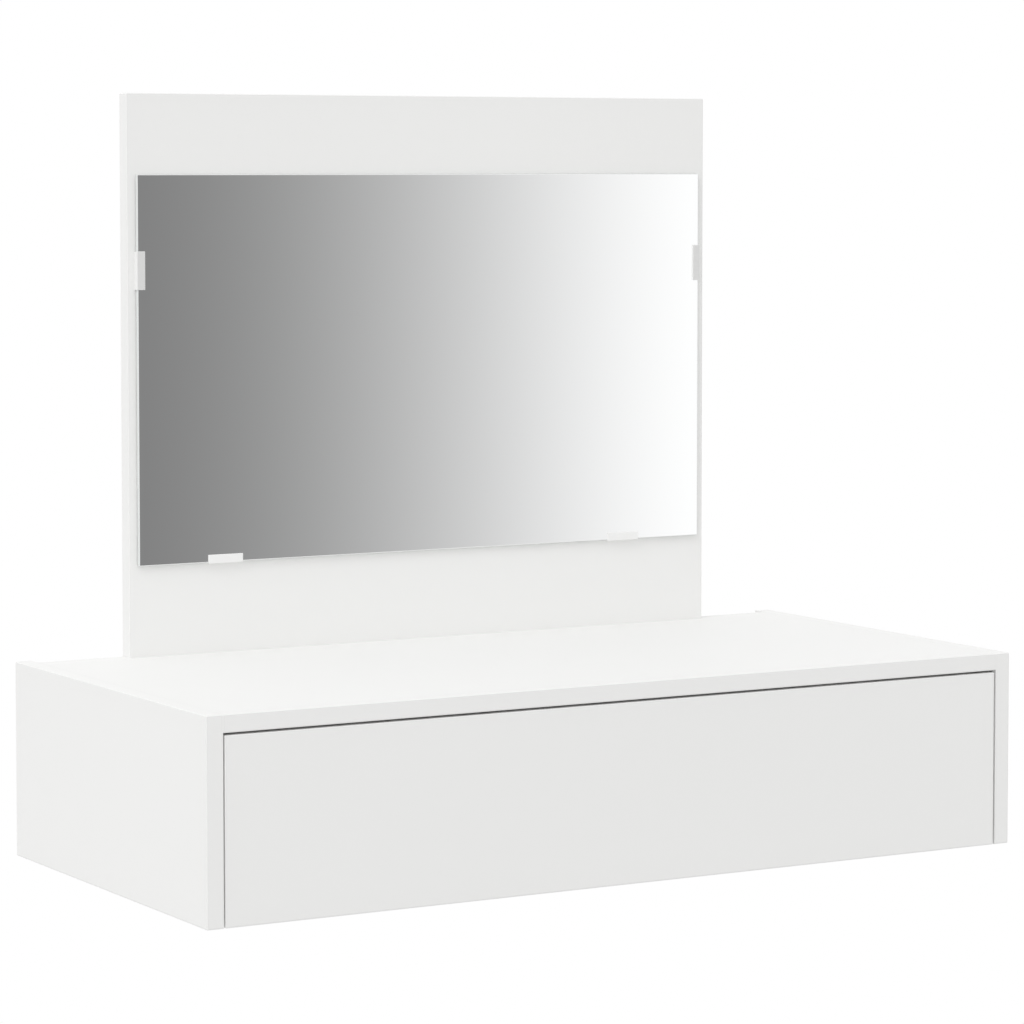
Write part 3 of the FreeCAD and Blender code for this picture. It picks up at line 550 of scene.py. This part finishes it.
# %% Group: moulded skin
GRAIN_MM = 0.3
FLOW_MM = 9
moulded_skin, given, result = new_group("moulded_skin", ["Place"], {"Grain": "Float", "Flow": "Float"})
fill_inputs(moulded_skin, result, {
    "Grain": noise(moulded_skin, given["Place"], GRAIN_MM, roughness=0.6),
    "Flow": noise(moulded_skin, given["Place"], FLOW_MM, detail=4.0),
})
print("group", moulded_skin.name)

# %% [markdown]
# Four thin white clips hold the mirror. They are smooth and glossy. All four are one white plastic, but the
# faces of the two at the sides carry painted shade: they are coloured greyer than their rounded rims and
# greyer than the two below, so the finish takes one tone for the face and another for the rest.

# %% Mirror clips
CLIP_WHITE = (0.90, 0.90, 0.895, 1)
# Painted shade: a grey that stands in for light falling less on the side clips' faces, not a colour of the
# plastic
SIDE_CLIP_PAINTED_SHADE = (0.72, 0.72, 0.715, 1)
CLIP_SHADE = (0.55, 0.55, 0.54, 1)
CLIP_CLOUD = 0.12
CLIP_GLOSS = (0.26, 0.40)


def clip_finish(name, face):
    """Glossy moulded plastic with a given tone on the face that looks forward; a greyer tone there is
    painted shade.
    """
    material, tree, shader, place = new_finish(name)
    skin = use_group(tree, moulded_skin, {"Place": place})
    forward = math_step(tree, "LESS_THAN", looks_along(tree, "Y"), -FACING)
    # The forward face takes the given tone, which is painted shade on the side clips
    white = mix_colours(tree, forward, CLIP_WHITE, face)
    clouds = math_step(tree, "MULTIPLY", skin["Flow"], CLIP_CLOUD)
    fill_inputs(tree, shader, {
        "Base Color": mix_colours(tree, clouds, white, CLIP_SHADE),
        "Roughness": spread(tree, skin["Grain"], *NOISE_SPAN, *CLIP_GLOSS),
    })
    add_bump(tree, shader, skin["Grain"], depth_mm=0.02, strength=0.2)
    return material


# The side clips get the finish with painted shade on their faces; the lower clips stay plain white
side_clip_painted_shade_finish = clip_finish("side_clip_painted_shade", SIDE_CLIP_PAINTED_SHADE)
lower_clip_finish = clip_finish("lower_clip_plastic", CLIP_WHITE)
for side in ("left", "right"):
    dress(f"{side}_mirror_clip", side_clip_painted_shade_finish)
    dress(f"lower_{side}_mirror_clip", lower_clip_finish)
print("clips dressed")

# %% [markdown]
# The slides are rolled steel under white baked enamel, which dries with a soft orange peel. The
# rollers leave long grey marks on the faces they run on, so the marks are noise stretched along the
# drawer's way, and only faces that look up or down show them.

# %% Slide rails
ENAMEL = (0.80, 0.80, 0.79, 1)
RUN_MARK = (0.42, 0.42, 0.41, 1)
PEEL_MM = 1.6
MARK_MM = 1.0
MARK_STRETCH = (1.0, 0.012, 1.0)
MARK_SPAN = (0.5, 0.68)
LEVEL_SPAN = (0.8, 0.95)
ENAMEL_GLOSS = (0.24, 0.40)
MARK_ROUGHNESS = 0.5


def enamel_finish():
    """White baked enamel with the rollers' marks."""
    material, tree, shader, place = new_finish("rail_enamel")
    peel = noise(tree, place, PEEL_MM)
    streaks = noise(tree, stretched(tree, place, MARK_STRETCH), MARK_MM, detail=3.0)
    level = math_step(tree, "ABSOLUTE", looks_along(tree, "Z"), 0.0)
    marks = math_step(tree, "MULTIPLY", spread(tree, streaks, *MARK_SPAN), spread(tree, level, *LEVEL_SPAN))
    gloss = spread(tree, peel, *NOISE_SPAN, *ENAMEL_GLOSS)
    fill_inputs(tree, shader, {
        "Base Color": mix_colours(tree, marks, ENAMEL, RUN_MARK),
        "Roughness": mix_values(tree, marks, gloss, MARK_ROUGHNESS),
    })
    add_bump(tree, shader, math_step(tree, "SUBTRACT", peel, marks), depth_mm=0.06, strength=0.25)
    return material


rail_finish = enamel_finish()
for side in ("left", "right"):
    dress(f"{side}_cabinet_rail", rail_finish)
    dress(f"{side}_drawer_rail", rail_finish)
print("rails dressed")

# %% [markdown]
# Screws, pins and bolts are plated with bright zinc, which is cloudy and a little scratched; the cam
# locks are cast in zinc, duller and grainier. One group makes clouds, scratches and grain for both.

# %% Group: zinc skin, and the two metals
CLOUD_MM = 2.5
CAST_GRAIN_MM = 0.35
SCRATCH_MM = 0.8
SCRATCH_STRETCH = (1.0, 6.0, 0.3)
PLATE_DARK = (0.58, 0.60, 0.64, 1)
PLATE_PALE = (0.74, 0.74, 0.72, 1)
PLATE_GLOSS = (0.20, 0.42)
CAST_DARK = (0.42, 0.43, 0.45, 1)
CAST_PALE = (0.58, 0.59, 0.59, 1)
CAST_GLOSS = (0.42, 0.62)
zinc_skin, given, result = new_group(
    "zinc_skin", ["Place"], {"Cloud": "Float", "Scratch": "Float", "Grain": "Float"},
)
scratched = stretched(zinc_skin, given["Place"], SCRATCH_STRETCH)
fill_inputs(zinc_skin, result, {
    "Cloud": noise(zinc_skin, given["Place"], CLOUD_MM, detail=3.0),
    "Scratch": noise(zinc_skin, scratched, SCRATCH_MM, detail=4.0, roughness=0.7),
    "Grain": noise(zinc_skin, given["Place"], CAST_GRAIN_MM),
})


def zinc_finish(name, dark, pale, gloss, relief, depth_mm):
    """Zinc between two tones, with the gloss and the relief of plating or of a casting."""
    material, tree, shader, place = new_finish(name)
    skin = use_group(tree, zinc_skin, {"Place": place})
    fill_inputs(tree, shader, {
        "Base Color": mix_colours(tree, skin["Cloud"], dark, pale),
        "Roughness": spread(tree, skin["Scratch"], *NOISE_SPAN, *gloss),
        "Metallic": 1.0,
    })
    add_bump(tree, shader, skin[relief], depth_mm=depth_mm, strength=0.3)
    return material


plated_zinc = zinc_finish("plated_zinc", PLATE_DARK, PLATE_PALE, PLATE_GLOSS, "Scratch", depth_mm=0.02)
cast_zinc = zinc_finish("cast_zinc", CAST_DARK, CAST_PALE, CAST_GLOSS, "Grain", depth_mm=0.06)
for node in (
    "panel_cam_bolts", "mirror_board_screws", "mirror_clip_screws",
    "cabinet_rail_screws", "cabinet_roller_pins",
    "drawer_cam_bolts", "drawer_back_screws", "drawer_rail_screws", "drawer_roller_pins",
):
    dress(node, plated_zinc)
for node in ("panel_cam_locks", "drawer_cam_locks"):
    dress(node, cast_zinc)
print("metal dressed")

# %% [markdown]
# The drawer bottom is thin hardboard. Its upper face is lacquered white, and its underside shows
# brown fibres and the print of the wire screen that it was pressed on.

# %% Drawer bottom
LACQUER = (0.82, 0.82, 0.80, 1)
LACQUER_SHADE = (0.79, 0.79, 0.77, 1)
FIBRE_DARK = (0.19, 0.115, 0.065, 1)
FIBRE_PALE = (0.36, 0.235, 0.14, 1)
FIBRE_MM = 4
FIBRE_SPAN = (0.1, 0.45)
FLECK_MM = 0.7
SCREEN_MM = 1.3
SCREEN_BEND = 0.4
LACQUER_RELIEF = 0.1
FIBRE_ROUGHNESS = 0.8
LACQUER_ROUGHNESS = 0.42


def screen_print(tree, place):
    """The print of a woven screen: two sets of fine ridges that cross."""
    ridges = []
    # At a scale of 1 a wave texture has about pi ridges to the metre
    scale = per_metre(SCREEN_MM) / math.pi
    for direction in ("X", "Y"):
        inputs = {"Vector": place, "Scale": scale, "Distortion": SCREEN_BEND}
        wave = add_node(tree, "TexWave", inputs, bands_direction=direction)
        ridges.append(wave.outputs["Fac"])
    return math_step(tree, "MULTIPLY", *ridges)


def hardboard_finish():
    """White lacquer above, brown screened fibre below."""
    material, tree, shader, place = new_finish("hardboard")
    above = math_step(tree, "GREATER_THAN", looks_along(tree, "Z"), FACING)
    fibres = noise(tree, place, FIBRE_MM, detail=6.0, roughness=0.7)
    flecks = noise(tree, place, FLECK_MM, detail=3.0)
    screen = screen_print(tree, place)
    felted = spread(tree, math_step(tree, "MULTIPLY", fibres, flecks), *FIBRE_SPAN)
    brown = mix_colours(tree, felted, FIBRE_DARK, FIBRE_PALE)
    white = mix_colours(tree, fibres, LACQUER, LACQUER_SHADE)
    fill_inputs(tree, shader, {
        "Base Color": mix_colours(tree, above, brown, white),
        "Roughness": mix_values(tree, above, FIBRE_ROUGHNESS, LACQUER_ROUGHNESS),
    })
    smooth_side = math_step(tree, "MULTIPLY", flecks, LACQUER_RELIEF)
    relief = mix_values(tree, above, math_step(tree, "ADD", screen, flecks), smooth_side)
    add_bump(tree, shader, relief, depth_mm=0.15, strength=0.5)
    return material


dress("drawer_bottom", hardboard_finish())
print("drawer bottom dressed")

# %% [markdown]
# The dowels are beech: pale, with short dark flecks along the grain. The grain runs along the dowel,
# so the pattern is stretched along the axis that the dowel lies on.

# %% Dowels
BEECH_PALE = (0.76, 0.60, 0.42, 1)
BEECH_FLECK = (0.52, 0.36, 0.21, 1)
ALONG_GRAIN = 0.08
BEECH_FLECK_MM = 0.5
BEECH_RING_MM = 3
BEECH_SPAN = (0.5, 0.75)
BEECH_GLOSS = (0.5, 0.7)


def beech_finish(name, stretch):
    """Beech with its grain along one axis."""
    material, tree, shader, place = new_finish(name)
    along = stretched(tree, place, stretch)
    flecks = noise(tree, along, BEECH_FLECK_MM, detail=4.0, roughness=0.65)
    rings = noise(tree, along, BEECH_RING_MM)
    shade = math_step(tree, "MULTIPLY", spread(tree, flecks, *BEECH_SPAN), rings)
    fill_inputs(tree, shader, {
        "Base Color": mix_colours(tree, shade, BEECH_PALE, BEECH_FLECK),
        "Roughness": spread(tree, flecks, *NOISE_SPAN, *BEECH_GLOSS),
    })
    add_bump(tree, shader, flecks, depth_mm=0.05, strength=0.3)
    return material


dress("panel_dowels", beech_finish("beech_across", (ALONG_GRAIN, 1.0, 1.0)))
dress("mirror_board_dowels", beech_finish("beech_upright", (1.0, 1.0, ALONG_GRAIN)))
print("dowels dressed")

# %% [markdown]
# The rollers are natural nylon, a little cream and half matt. The tread greys where it rolls on the
# enamel, and the tread is the part that doesn't look along the axle.

# %% Roller nylon
NYLON = (0.78, 0.78, 0.74, 1)
NYLON_FLOW = (0.72, 0.72, 0.67, 1)
TREAD_GREY = (0.50, 0.50, 0.48, 1)
TREAD_SHARE = 0.6
TREAD_SPAN = (0.1, 0.5)
NYLON_GLOSS = (0.38, 0.52)


def nylon_finish():
    """Natural nylon with a greyed tread."""
    material, tree, shader, place = new_finish("roller_nylon")
    skin = use_group(tree, moulded_skin, {"Place": place})
    sideways = math_step(tree, "ABSOLUTE", looks_along(tree, "X"), 0.0)
    rolled = spread(tree, sideways, *TREAD_SPAN, TREAD_SHARE, 0.0)
    tread = math_step(tree, "MULTIPLY", rolled, skin["Flow"])
    natural = mix_colours(tree, skin["Flow"], NYLON, NYLON_FLOW)
    fill_inputs(tree, shader, {
        "Base Color": mix_colours(tree, tread, natural, TREAD_GREY),
        "Roughness": spread(tree, skin["Grain"], *NOISE_SPAN, *NYLON_GLOSS),
    })
    add_bump(tree, shader, skin["Grain"], depth_mm=0.03, strength=0.25)
    return material


roller_nylon = nylon_finish()
for side in ("left", "right"):
    dress(f"{side}_cabinet_roller", roller_nylon)
    dress(f"{side}_drawer_roller", roller_nylon)
print("rollers dressed")

# %% [markdown]
# Small moulded, turned and cast pieces follow. Each one is shaped in a bmesh, smoothed except at its
# sharp corners, and then takes the place of a plain CAD solid: it rides on the same body and uses the
# same material slot. A bmesh can list its points and faces in another order on each run, so they are
# sorted by place first.

# %% Helper for finished pieces
SHARP_ANGLE = math.radians(35)
PLACE_DIGITS = 6


def sort_by_place(parts, place):
    """Sorts the points or the faces of a shape by their places."""
    in_order = sorted(parts, key=lambda part: tuple(round(value, PLACE_DIGITS) for value in place(part)))
    for rank, part in enumerate(in_order):
        part.index = rank
    parts.sort()


def keep_piece(name, shape, material, body, node):
    """Makes an object of a shape that moves with a body and stands for a CAD node."""
    mesh = bpy.data.meshes.new(name)
    sort_by_place(shape.verts, lambda vert: vert.co)
    sort_by_place(shape.faces, lambda face: face.calc_center_median())
    for face in shape.faces:
        face.smooth = True
    shape.to_mesh(mesh)
    shape.free()
    mesh.set_sharp_from_angle(angle=SHARP_ANGLE)
    mesh.materials.append(material)
    piece = bpy.data.objects.new(name, mesh)
    scene.collection.objects.link(piece)
    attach(piece, body)
    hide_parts(node)
    print(name, "has", len(mesh.polygons), "faces")


print("corners stay sharp past", round(math.degrees(SHARP_ANGLE)), "degrees")

# %% [markdown]
# A slide roller is a turned form: tread, rim, a thinner web and a hub with a bore for the pin. Half
# of its section is drawn with a dozen corners, the corners are bevelled round, and the outline is
# spun a full turn about the axle.

# %% Rollers
RIM_INSIDE = 0.0070
HUB = 0.0040
BORE = 0.00208
WEB_DROP = 0.0015
ROLLER_ROUNDING = 0.00045
ROUNDING_STEPS = 4
ROLLER_STEPS = 64
MERGE_DISTANCE = 1e-6


def roller_section(half, radius):
    """The corners of half a section, each by its place along the axle and its distance from it."""
    web = half - WEB_DROP
    hub_side = [(-half, BORE), (-half, HUB), (-web, HUB)]
    rim_side = [(-web, RIM_INSIDE), (-half, RIM_INSIDE), (-half, radius)]
    near_side = hub_side + rim_side
    return near_side + [(-along, away) for along, away in reversed(near_side)]


def roller_shape(low, high):
    """A roller spun about an axle along X, inside the box between two corners."""
    section = roller_section((high.x - low.x) / 2, (high.z - low.z) / 2)
    shape = bmesh.new()
    corners = [shape.verts.new((along, 0, away)) for along, away in section]
    shape.faces.new(corners)
    bmesh.ops.bevel(
        shape, geom=corners, offset=ROLLER_ROUNDING, affect="VERTICES",
        segments=ROUNDING_STEPS, profile=0.5, material=-1,
    )
    bmesh.ops.delete(shape, geom=shape.faces[:], context="FACES_ONLY")
    bmesh.ops.spin(
        shape, geom=shape.verts[:] + shape.edges[:], cent=(0, 0, 0), axis=(1, 0, 0),
        angle=2 * math.pi, steps=ROLLER_STEPS, use_merge=True,
    )
    bmesh.ops.remove_doubles(shape, verts=shape.verts, dist=MERGE_DISTANCE)
    bmesh.ops.recalc_face_normals(shape, faces=shape.faces)
    bmesh.ops.translate(shape, verts=shape.verts, vec=(low + high) / 2)
    return shape


for side in ("left", "right"):
    for carrier in ("cabinet", "drawer"):
        node = f"{side}_{carrier}_roller"
        keep_piece(node + "_turned", roller_shape(*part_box(node)), roller_nylon, node, node)

# %% [markdown]
# Screws and cam locks share one idea: a round face with a cross pressed into it, and a body that
# follows an outline behind it. The cross comes from a grid of nine squares without its corners. The
# ring between cross and rim is filled, the cross is pressed in, and the rim is extruded step by step.

# %% Helpers for a pressed cross
FACE_STEPS = 32
CROSS_TAPER = 0.8
ARROW_TAPER = 1.0
ARROW_DEPTH_SHARE = 1 / 6


def only(kind, items):
    """The items of one kind among those that an operator gives back."""
    return [item for item in items if isinstance(item, kind)]


def press_in(shape, faces, depth, taper):
    """Pushes faces down into the piece and narrows them towards the bottom."""
    edges = list({edge for face in faces for edge in face.edges})
    made = bmesh.ops.extrude_face_region(shape, geom=faces + edges)["geom"]
    pressed = only(bmesh.types.BMVert, made)
    middle = sum((vert.co for vert in pressed), Vector()) / len(pressed)
    bmesh.ops.scale(shape, verts=pressed, vec=(taper, taper, 1), space=Matrix.Translation(-middle))
    bmesh.ops.translate(shape, verts=pressed, vec=(0, 0, -depth))


def cross_faces(shape, arm, half_slot):
    """A flat cross: a grid of nine squares whose inner lines close in, without its corner squares."""
    grid = bmesh.ops.create_grid(shape, x_segments=3, y_segments=3, size=arm)["verts"]
    for vert in grid:
        for axis in (0, 1):
            if abs(vert.co[axis]) < arm / 2:
                vert.co[axis] = math.copysign(half_slot, vert.co[axis])
    middles = {face: face.calc_center_median() for face in shape.faces}
    corners = [face for face, middle in middles.items() if min(abs(middle.x), abs(middle.y)) > half_slot]
    bmesh.ops.delete(shape, geom=corners, context="FACES")
    return shape.faces[:]


def follow_outline(shape, ring, outline):
    """Extrudes a ring of edges from point to point of an outline of radius and height, and closes it."""
    last_radius, last_height = outline[0]
    for radius, height in outline[1:]:
        made = bmesh.ops.extrude_edge_only(shape, edges=ring)["geom"]
        verts = only(bmesh.types.BMVert, made)
        ring = [edge for edge in only(bmesh.types.BMEdge, made) if set(edge.verts) <= set(verts)]
        bmesh.ops.scale(shape, verts=verts, vec=(radius / last_radius, radius / last_radius, 1))
        bmesh.ops.translate(shape, verts=verts, vec=(0, 0, height - last_height))
        last_radius, last_height = radius, height
    bmesh.ops.edgeloop_fill(shape, edges=ring)


def cross_pattern(name, outline, arm, half_slot, depth, arrow):
    """A mesh with its face at the origin, looking along +Z, and its body behind it."""
    shape = bmesh.new()
    cross = cross_faces(shape, arm, half_slot)
    mark = []
    if arrow:
        size, away = arrow
        tip = bmesh.ops.create_circle(shape, cap_ends=True, segments=3, radius=size)["verts"]
        bmesh.ops.translate(shape, verts=tip, vec=(0, away, 0))
        mark = [face for face in shape.faces if face not in cross]
    holes = [edge for edge in shape.edges if edge.is_boundary]
    circle = bmesh.ops.create_circle(shape, segments=FACE_STEPS, radius=outline[0][0])["verts"]
    rim = list({edge for vert in circle for edge in vert.link_edges})
    bmesh.ops.triangle_fill(shape, use_beauty=True, edges=rim + holes, normal=(0, 0, 1))
    press_in(shape, cross, depth, CROSS_TAPER)
    if mark:
        press_in(shape, mark, depth * ARROW_DEPTH_SHARE, ARROW_TAPER)
    follow_outline(shape, rim, outline)
    bmesh.ops.recalc_face_normals(shape, faces=shape.faces)
    pattern = bpy.data.meshes.new(name)
    shape.to_mesh(pattern)
    shape.free()
    return pattern


print("cross helpers ready")

# %% [markdown]
# One pattern serves for all fixings of a kind. A place says where a fixing sits, which way its face
# looks and which way its own +Y is turned. The table is the same on both sides, so only the places
# on the left are worked out, and the right ones are their mirror images.

# %% Helpers for copies of a pattern
DOWN = (0, 0, -1)
UP = (0, 0, 1)
LEFT = (-1, 0, 0)
RIGHT = (1, 0, 0)
FORWARD = (0, -1, 0)


def set_copies(pattern, places):
    """Copies of a pattern at places, each looking one way, with its own +Y turned another way."""
    shape = bmesh.new()
    for place, outward, upright in places:
        first = len(shape.verts)
        shape.from_mesh(pattern)
        shape.verts.ensure_lookup_table()
        sideways = Vector(upright).cross(Vector(outward))
        turn = Matrix((sideways, upright, outward)).transposed().to_4x4()
        bmesh.ops.transform(shape, matrix=Matrix.Translation(place) @ turn, verts=shape.verts[first:])
    bpy.data.meshes.remove(pattern)
    return shape


def both_sides(places):
    """Places on the left side together with their mirror images on the right."""
    flip = Vector((-1, 1, 1))
    return places + [tuple(Vector(part) * flip for part in place) for place in places]


print("copy helpers ready")

# %% [markdown]
# The countersunk screws hold the rails, the drawer back and the mirror board. A screw's outline is a
# low rim, a cone, and then a thread drawn as ridges down to the point. The head is twice as wide as
# the shank, and its rim and cross are shares of its radius.

# %% Countersunk screws
RIM_SHARE = 0.08
HEAD_CROSS_ARM = 0.62
HEAD_CROSS_SLOT = 0.15
HEAD_CROSS_DEPTH = 0.4
THREAD_PITCH = 0.0012
THREAD_CORE = 0.72
POINT_RADIUS = 0.0003
SHORT_SCREW = (0.0035, 0.010)
LONG_SCREW = (0.004, 0.040)


def screw_pattern(diameter, length):
    """A countersunk screw with a cross in its head, a thread and a point."""
    head = diameter
    shank = diameter / 2
    core = shank * THREAD_CORE
    outline = [(head, 0.0), (head, -RIM_SHARE * head), (shank, -shank - RIM_SHARE * head)]
    depth = shank + 2 * THREAD_PITCH
    while depth < length - diameter:
        outline += [(core, -depth), (shank, -depth - THREAD_PITCH / 2)]
        depth += THREAD_PITCH
    outline += [(core, -depth), (POINT_RADIUS, -length)]
    cross = (HEAD_CROSS_ARM * head, HEAD_CROSS_SLOT * head, HEAD_CROSS_DEPTH * head)
    return cross_pattern("screw", outline, *cross, arrow=None)


def turned_screws(node, body, size, places):
    """Screws on both sides of the table that stand for a CAD node."""
    shape = set_copies(screw_pattern(*size), both_sides(places))
    keep_piece(node + "_turned", shape, plated_zinc, body, node)


print("short screws", SHORT_SCREW, "long screws", LONG_SCREW)

# %% [markdown]
# The screws' places come from the boxes of the boards and rails that they hold, so each head lies
# flush with its face: under the drawer, on the web of the cabinet rail, on the drawer's side and
# under the top.

# %% Screws in their places
ROW_INSET = 0.060
RAIL_STEEL = 0.0012
FIXING_RISE = 0.040
FIXING_DROP = 0.025
BOARD_SCREW_INSETS = (0.110, 0.210)


def row_along(low, high):
    """Three places along a rail, from front to rear."""
    return (low.y + ROW_INSET, (low.y + high.y) / 2, high.y - ROW_INSET)


side_low, side_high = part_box("left_drawer_side")
side_middle = (side_low.x + side_high.x) / 2
rail_low, rail_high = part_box("left_drawer_rail")
under_drawer = [((side_middle, y, rail_low.z), DOWN, FORWARD) for y in row_along(rail_low, rail_high)]
turned_screws("drawer_rail_screws", "drawer", SHORT_SCREW, under_drawer)

rail_low, rail_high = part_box("left_cabinet_rail")
wheel_low, wheel_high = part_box("left_cabinet_roller")
wheel_height = (wheel_low.z + wheel_high.z) / 2
web_x = rail_low.x + RAIL_STEEL
in_cabinet = [((web_x, y, wheel_height), RIGHT, UP) for y in row_along(rail_low, rail_high)]
turned_screws("cabinet_rail_screws", "carcass", SHORT_SCREW, in_cabinet)

back_low, back_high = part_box("drawer_back")
back_middle = (back_low.y + back_high.y) / 2
fixing_heights = (side_low.z + FIXING_RISE, side_high.z - FIXING_DROP)
at_rear = [((side_low.x, back_middle, z), LEFT, UP) for z in fixing_heights]
turned_screws("drawer_back_screws", "drawer", LONG_SCREW, at_rear)

top_low, top_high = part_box("top_panel")
board_low, board_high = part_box("mirror_board")
board_middle = (board_low.y + board_high.y) / 2
board_places = [board_low.x + inset for inset in BOARD_SCREW_INSETS]
under_top = [((x, board_middle, top_low.z), DOWN, FORWARD) for x in board_places]
turned_screws("mirror_board_screws", "carcass", LONG_SCREW, under_top)

# %% [markdown]
# A cam lock is a cast disc, flush with the board, with a bevelled rim, a cross for the driver and a
# small arrow that points to its bolt. The larger ones join the panels, the smaller ones the drawer.

# %% Cam locks
CAM_REACH = 0.024
CAM_BEVEL = 0.0005
CAM_CROSS_ARM = 0.0030
CAM_CROSS_SLOT = 0.0008
CAM_CROSS_DEPTH = 0.0020
ARROW_SIZE_SHARE = 0.09
ARROW_PLACE_SHARE = 0.34
DRAWER_CAM = (0.012, 0.0095)
PANEL_CAM = (0.015, 0.0125)


def cam_pattern(diameter, depth):
    """A cam lock with a cross and an arrow."""
    radius = diameter / 2
    outline = [(radius - CAM_BEVEL, 0.0), (radius, -CAM_BEVEL), (radius, -depth)]
    arrow = (ARROW_SIZE_SHARE * diameter, ARROW_PLACE_SHARE * diameter)
    return cross_pattern("cam_lock", outline, CAM_CROSS_ARM, CAM_CROSS_SLOT, CAM_CROSS_DEPTH, arrow)


def cast_locks(node, body, size, places):
    """Cam locks on both sides of the table that stand for a CAD node."""
    shape = set_copies(cam_pattern(*size), both_sides(places))
    keep_piece(node + "_cast", shape, cast_zinc, body, node)


cam_y = side_low.y + CAM_REACH
on_drawer = [((side_low.x, cam_y, z), LEFT, FORWARD) for z in fixing_heights]
cast_locks("drawer_cam_locks", "drawer", DRAWER_CAM, on_drawer)

cam_x = top_low.x + CAM_REACH
top_rows = (top_low.y + ROW_INSET, top_high.y - ROW_INSET)
on_panels = [((cam_x, y, top_low.z), DOWN, LEFT) for y in top_rows]
panel_low, panel_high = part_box("back_panel")
on_panels.append(((cam_x, panel_low.y, (panel_low.z + panel_high.z) / 2), FORWARD, LEFT))
cast_locks("panel_cam_locks", "carcass", PANEL_CAM, on_panels)
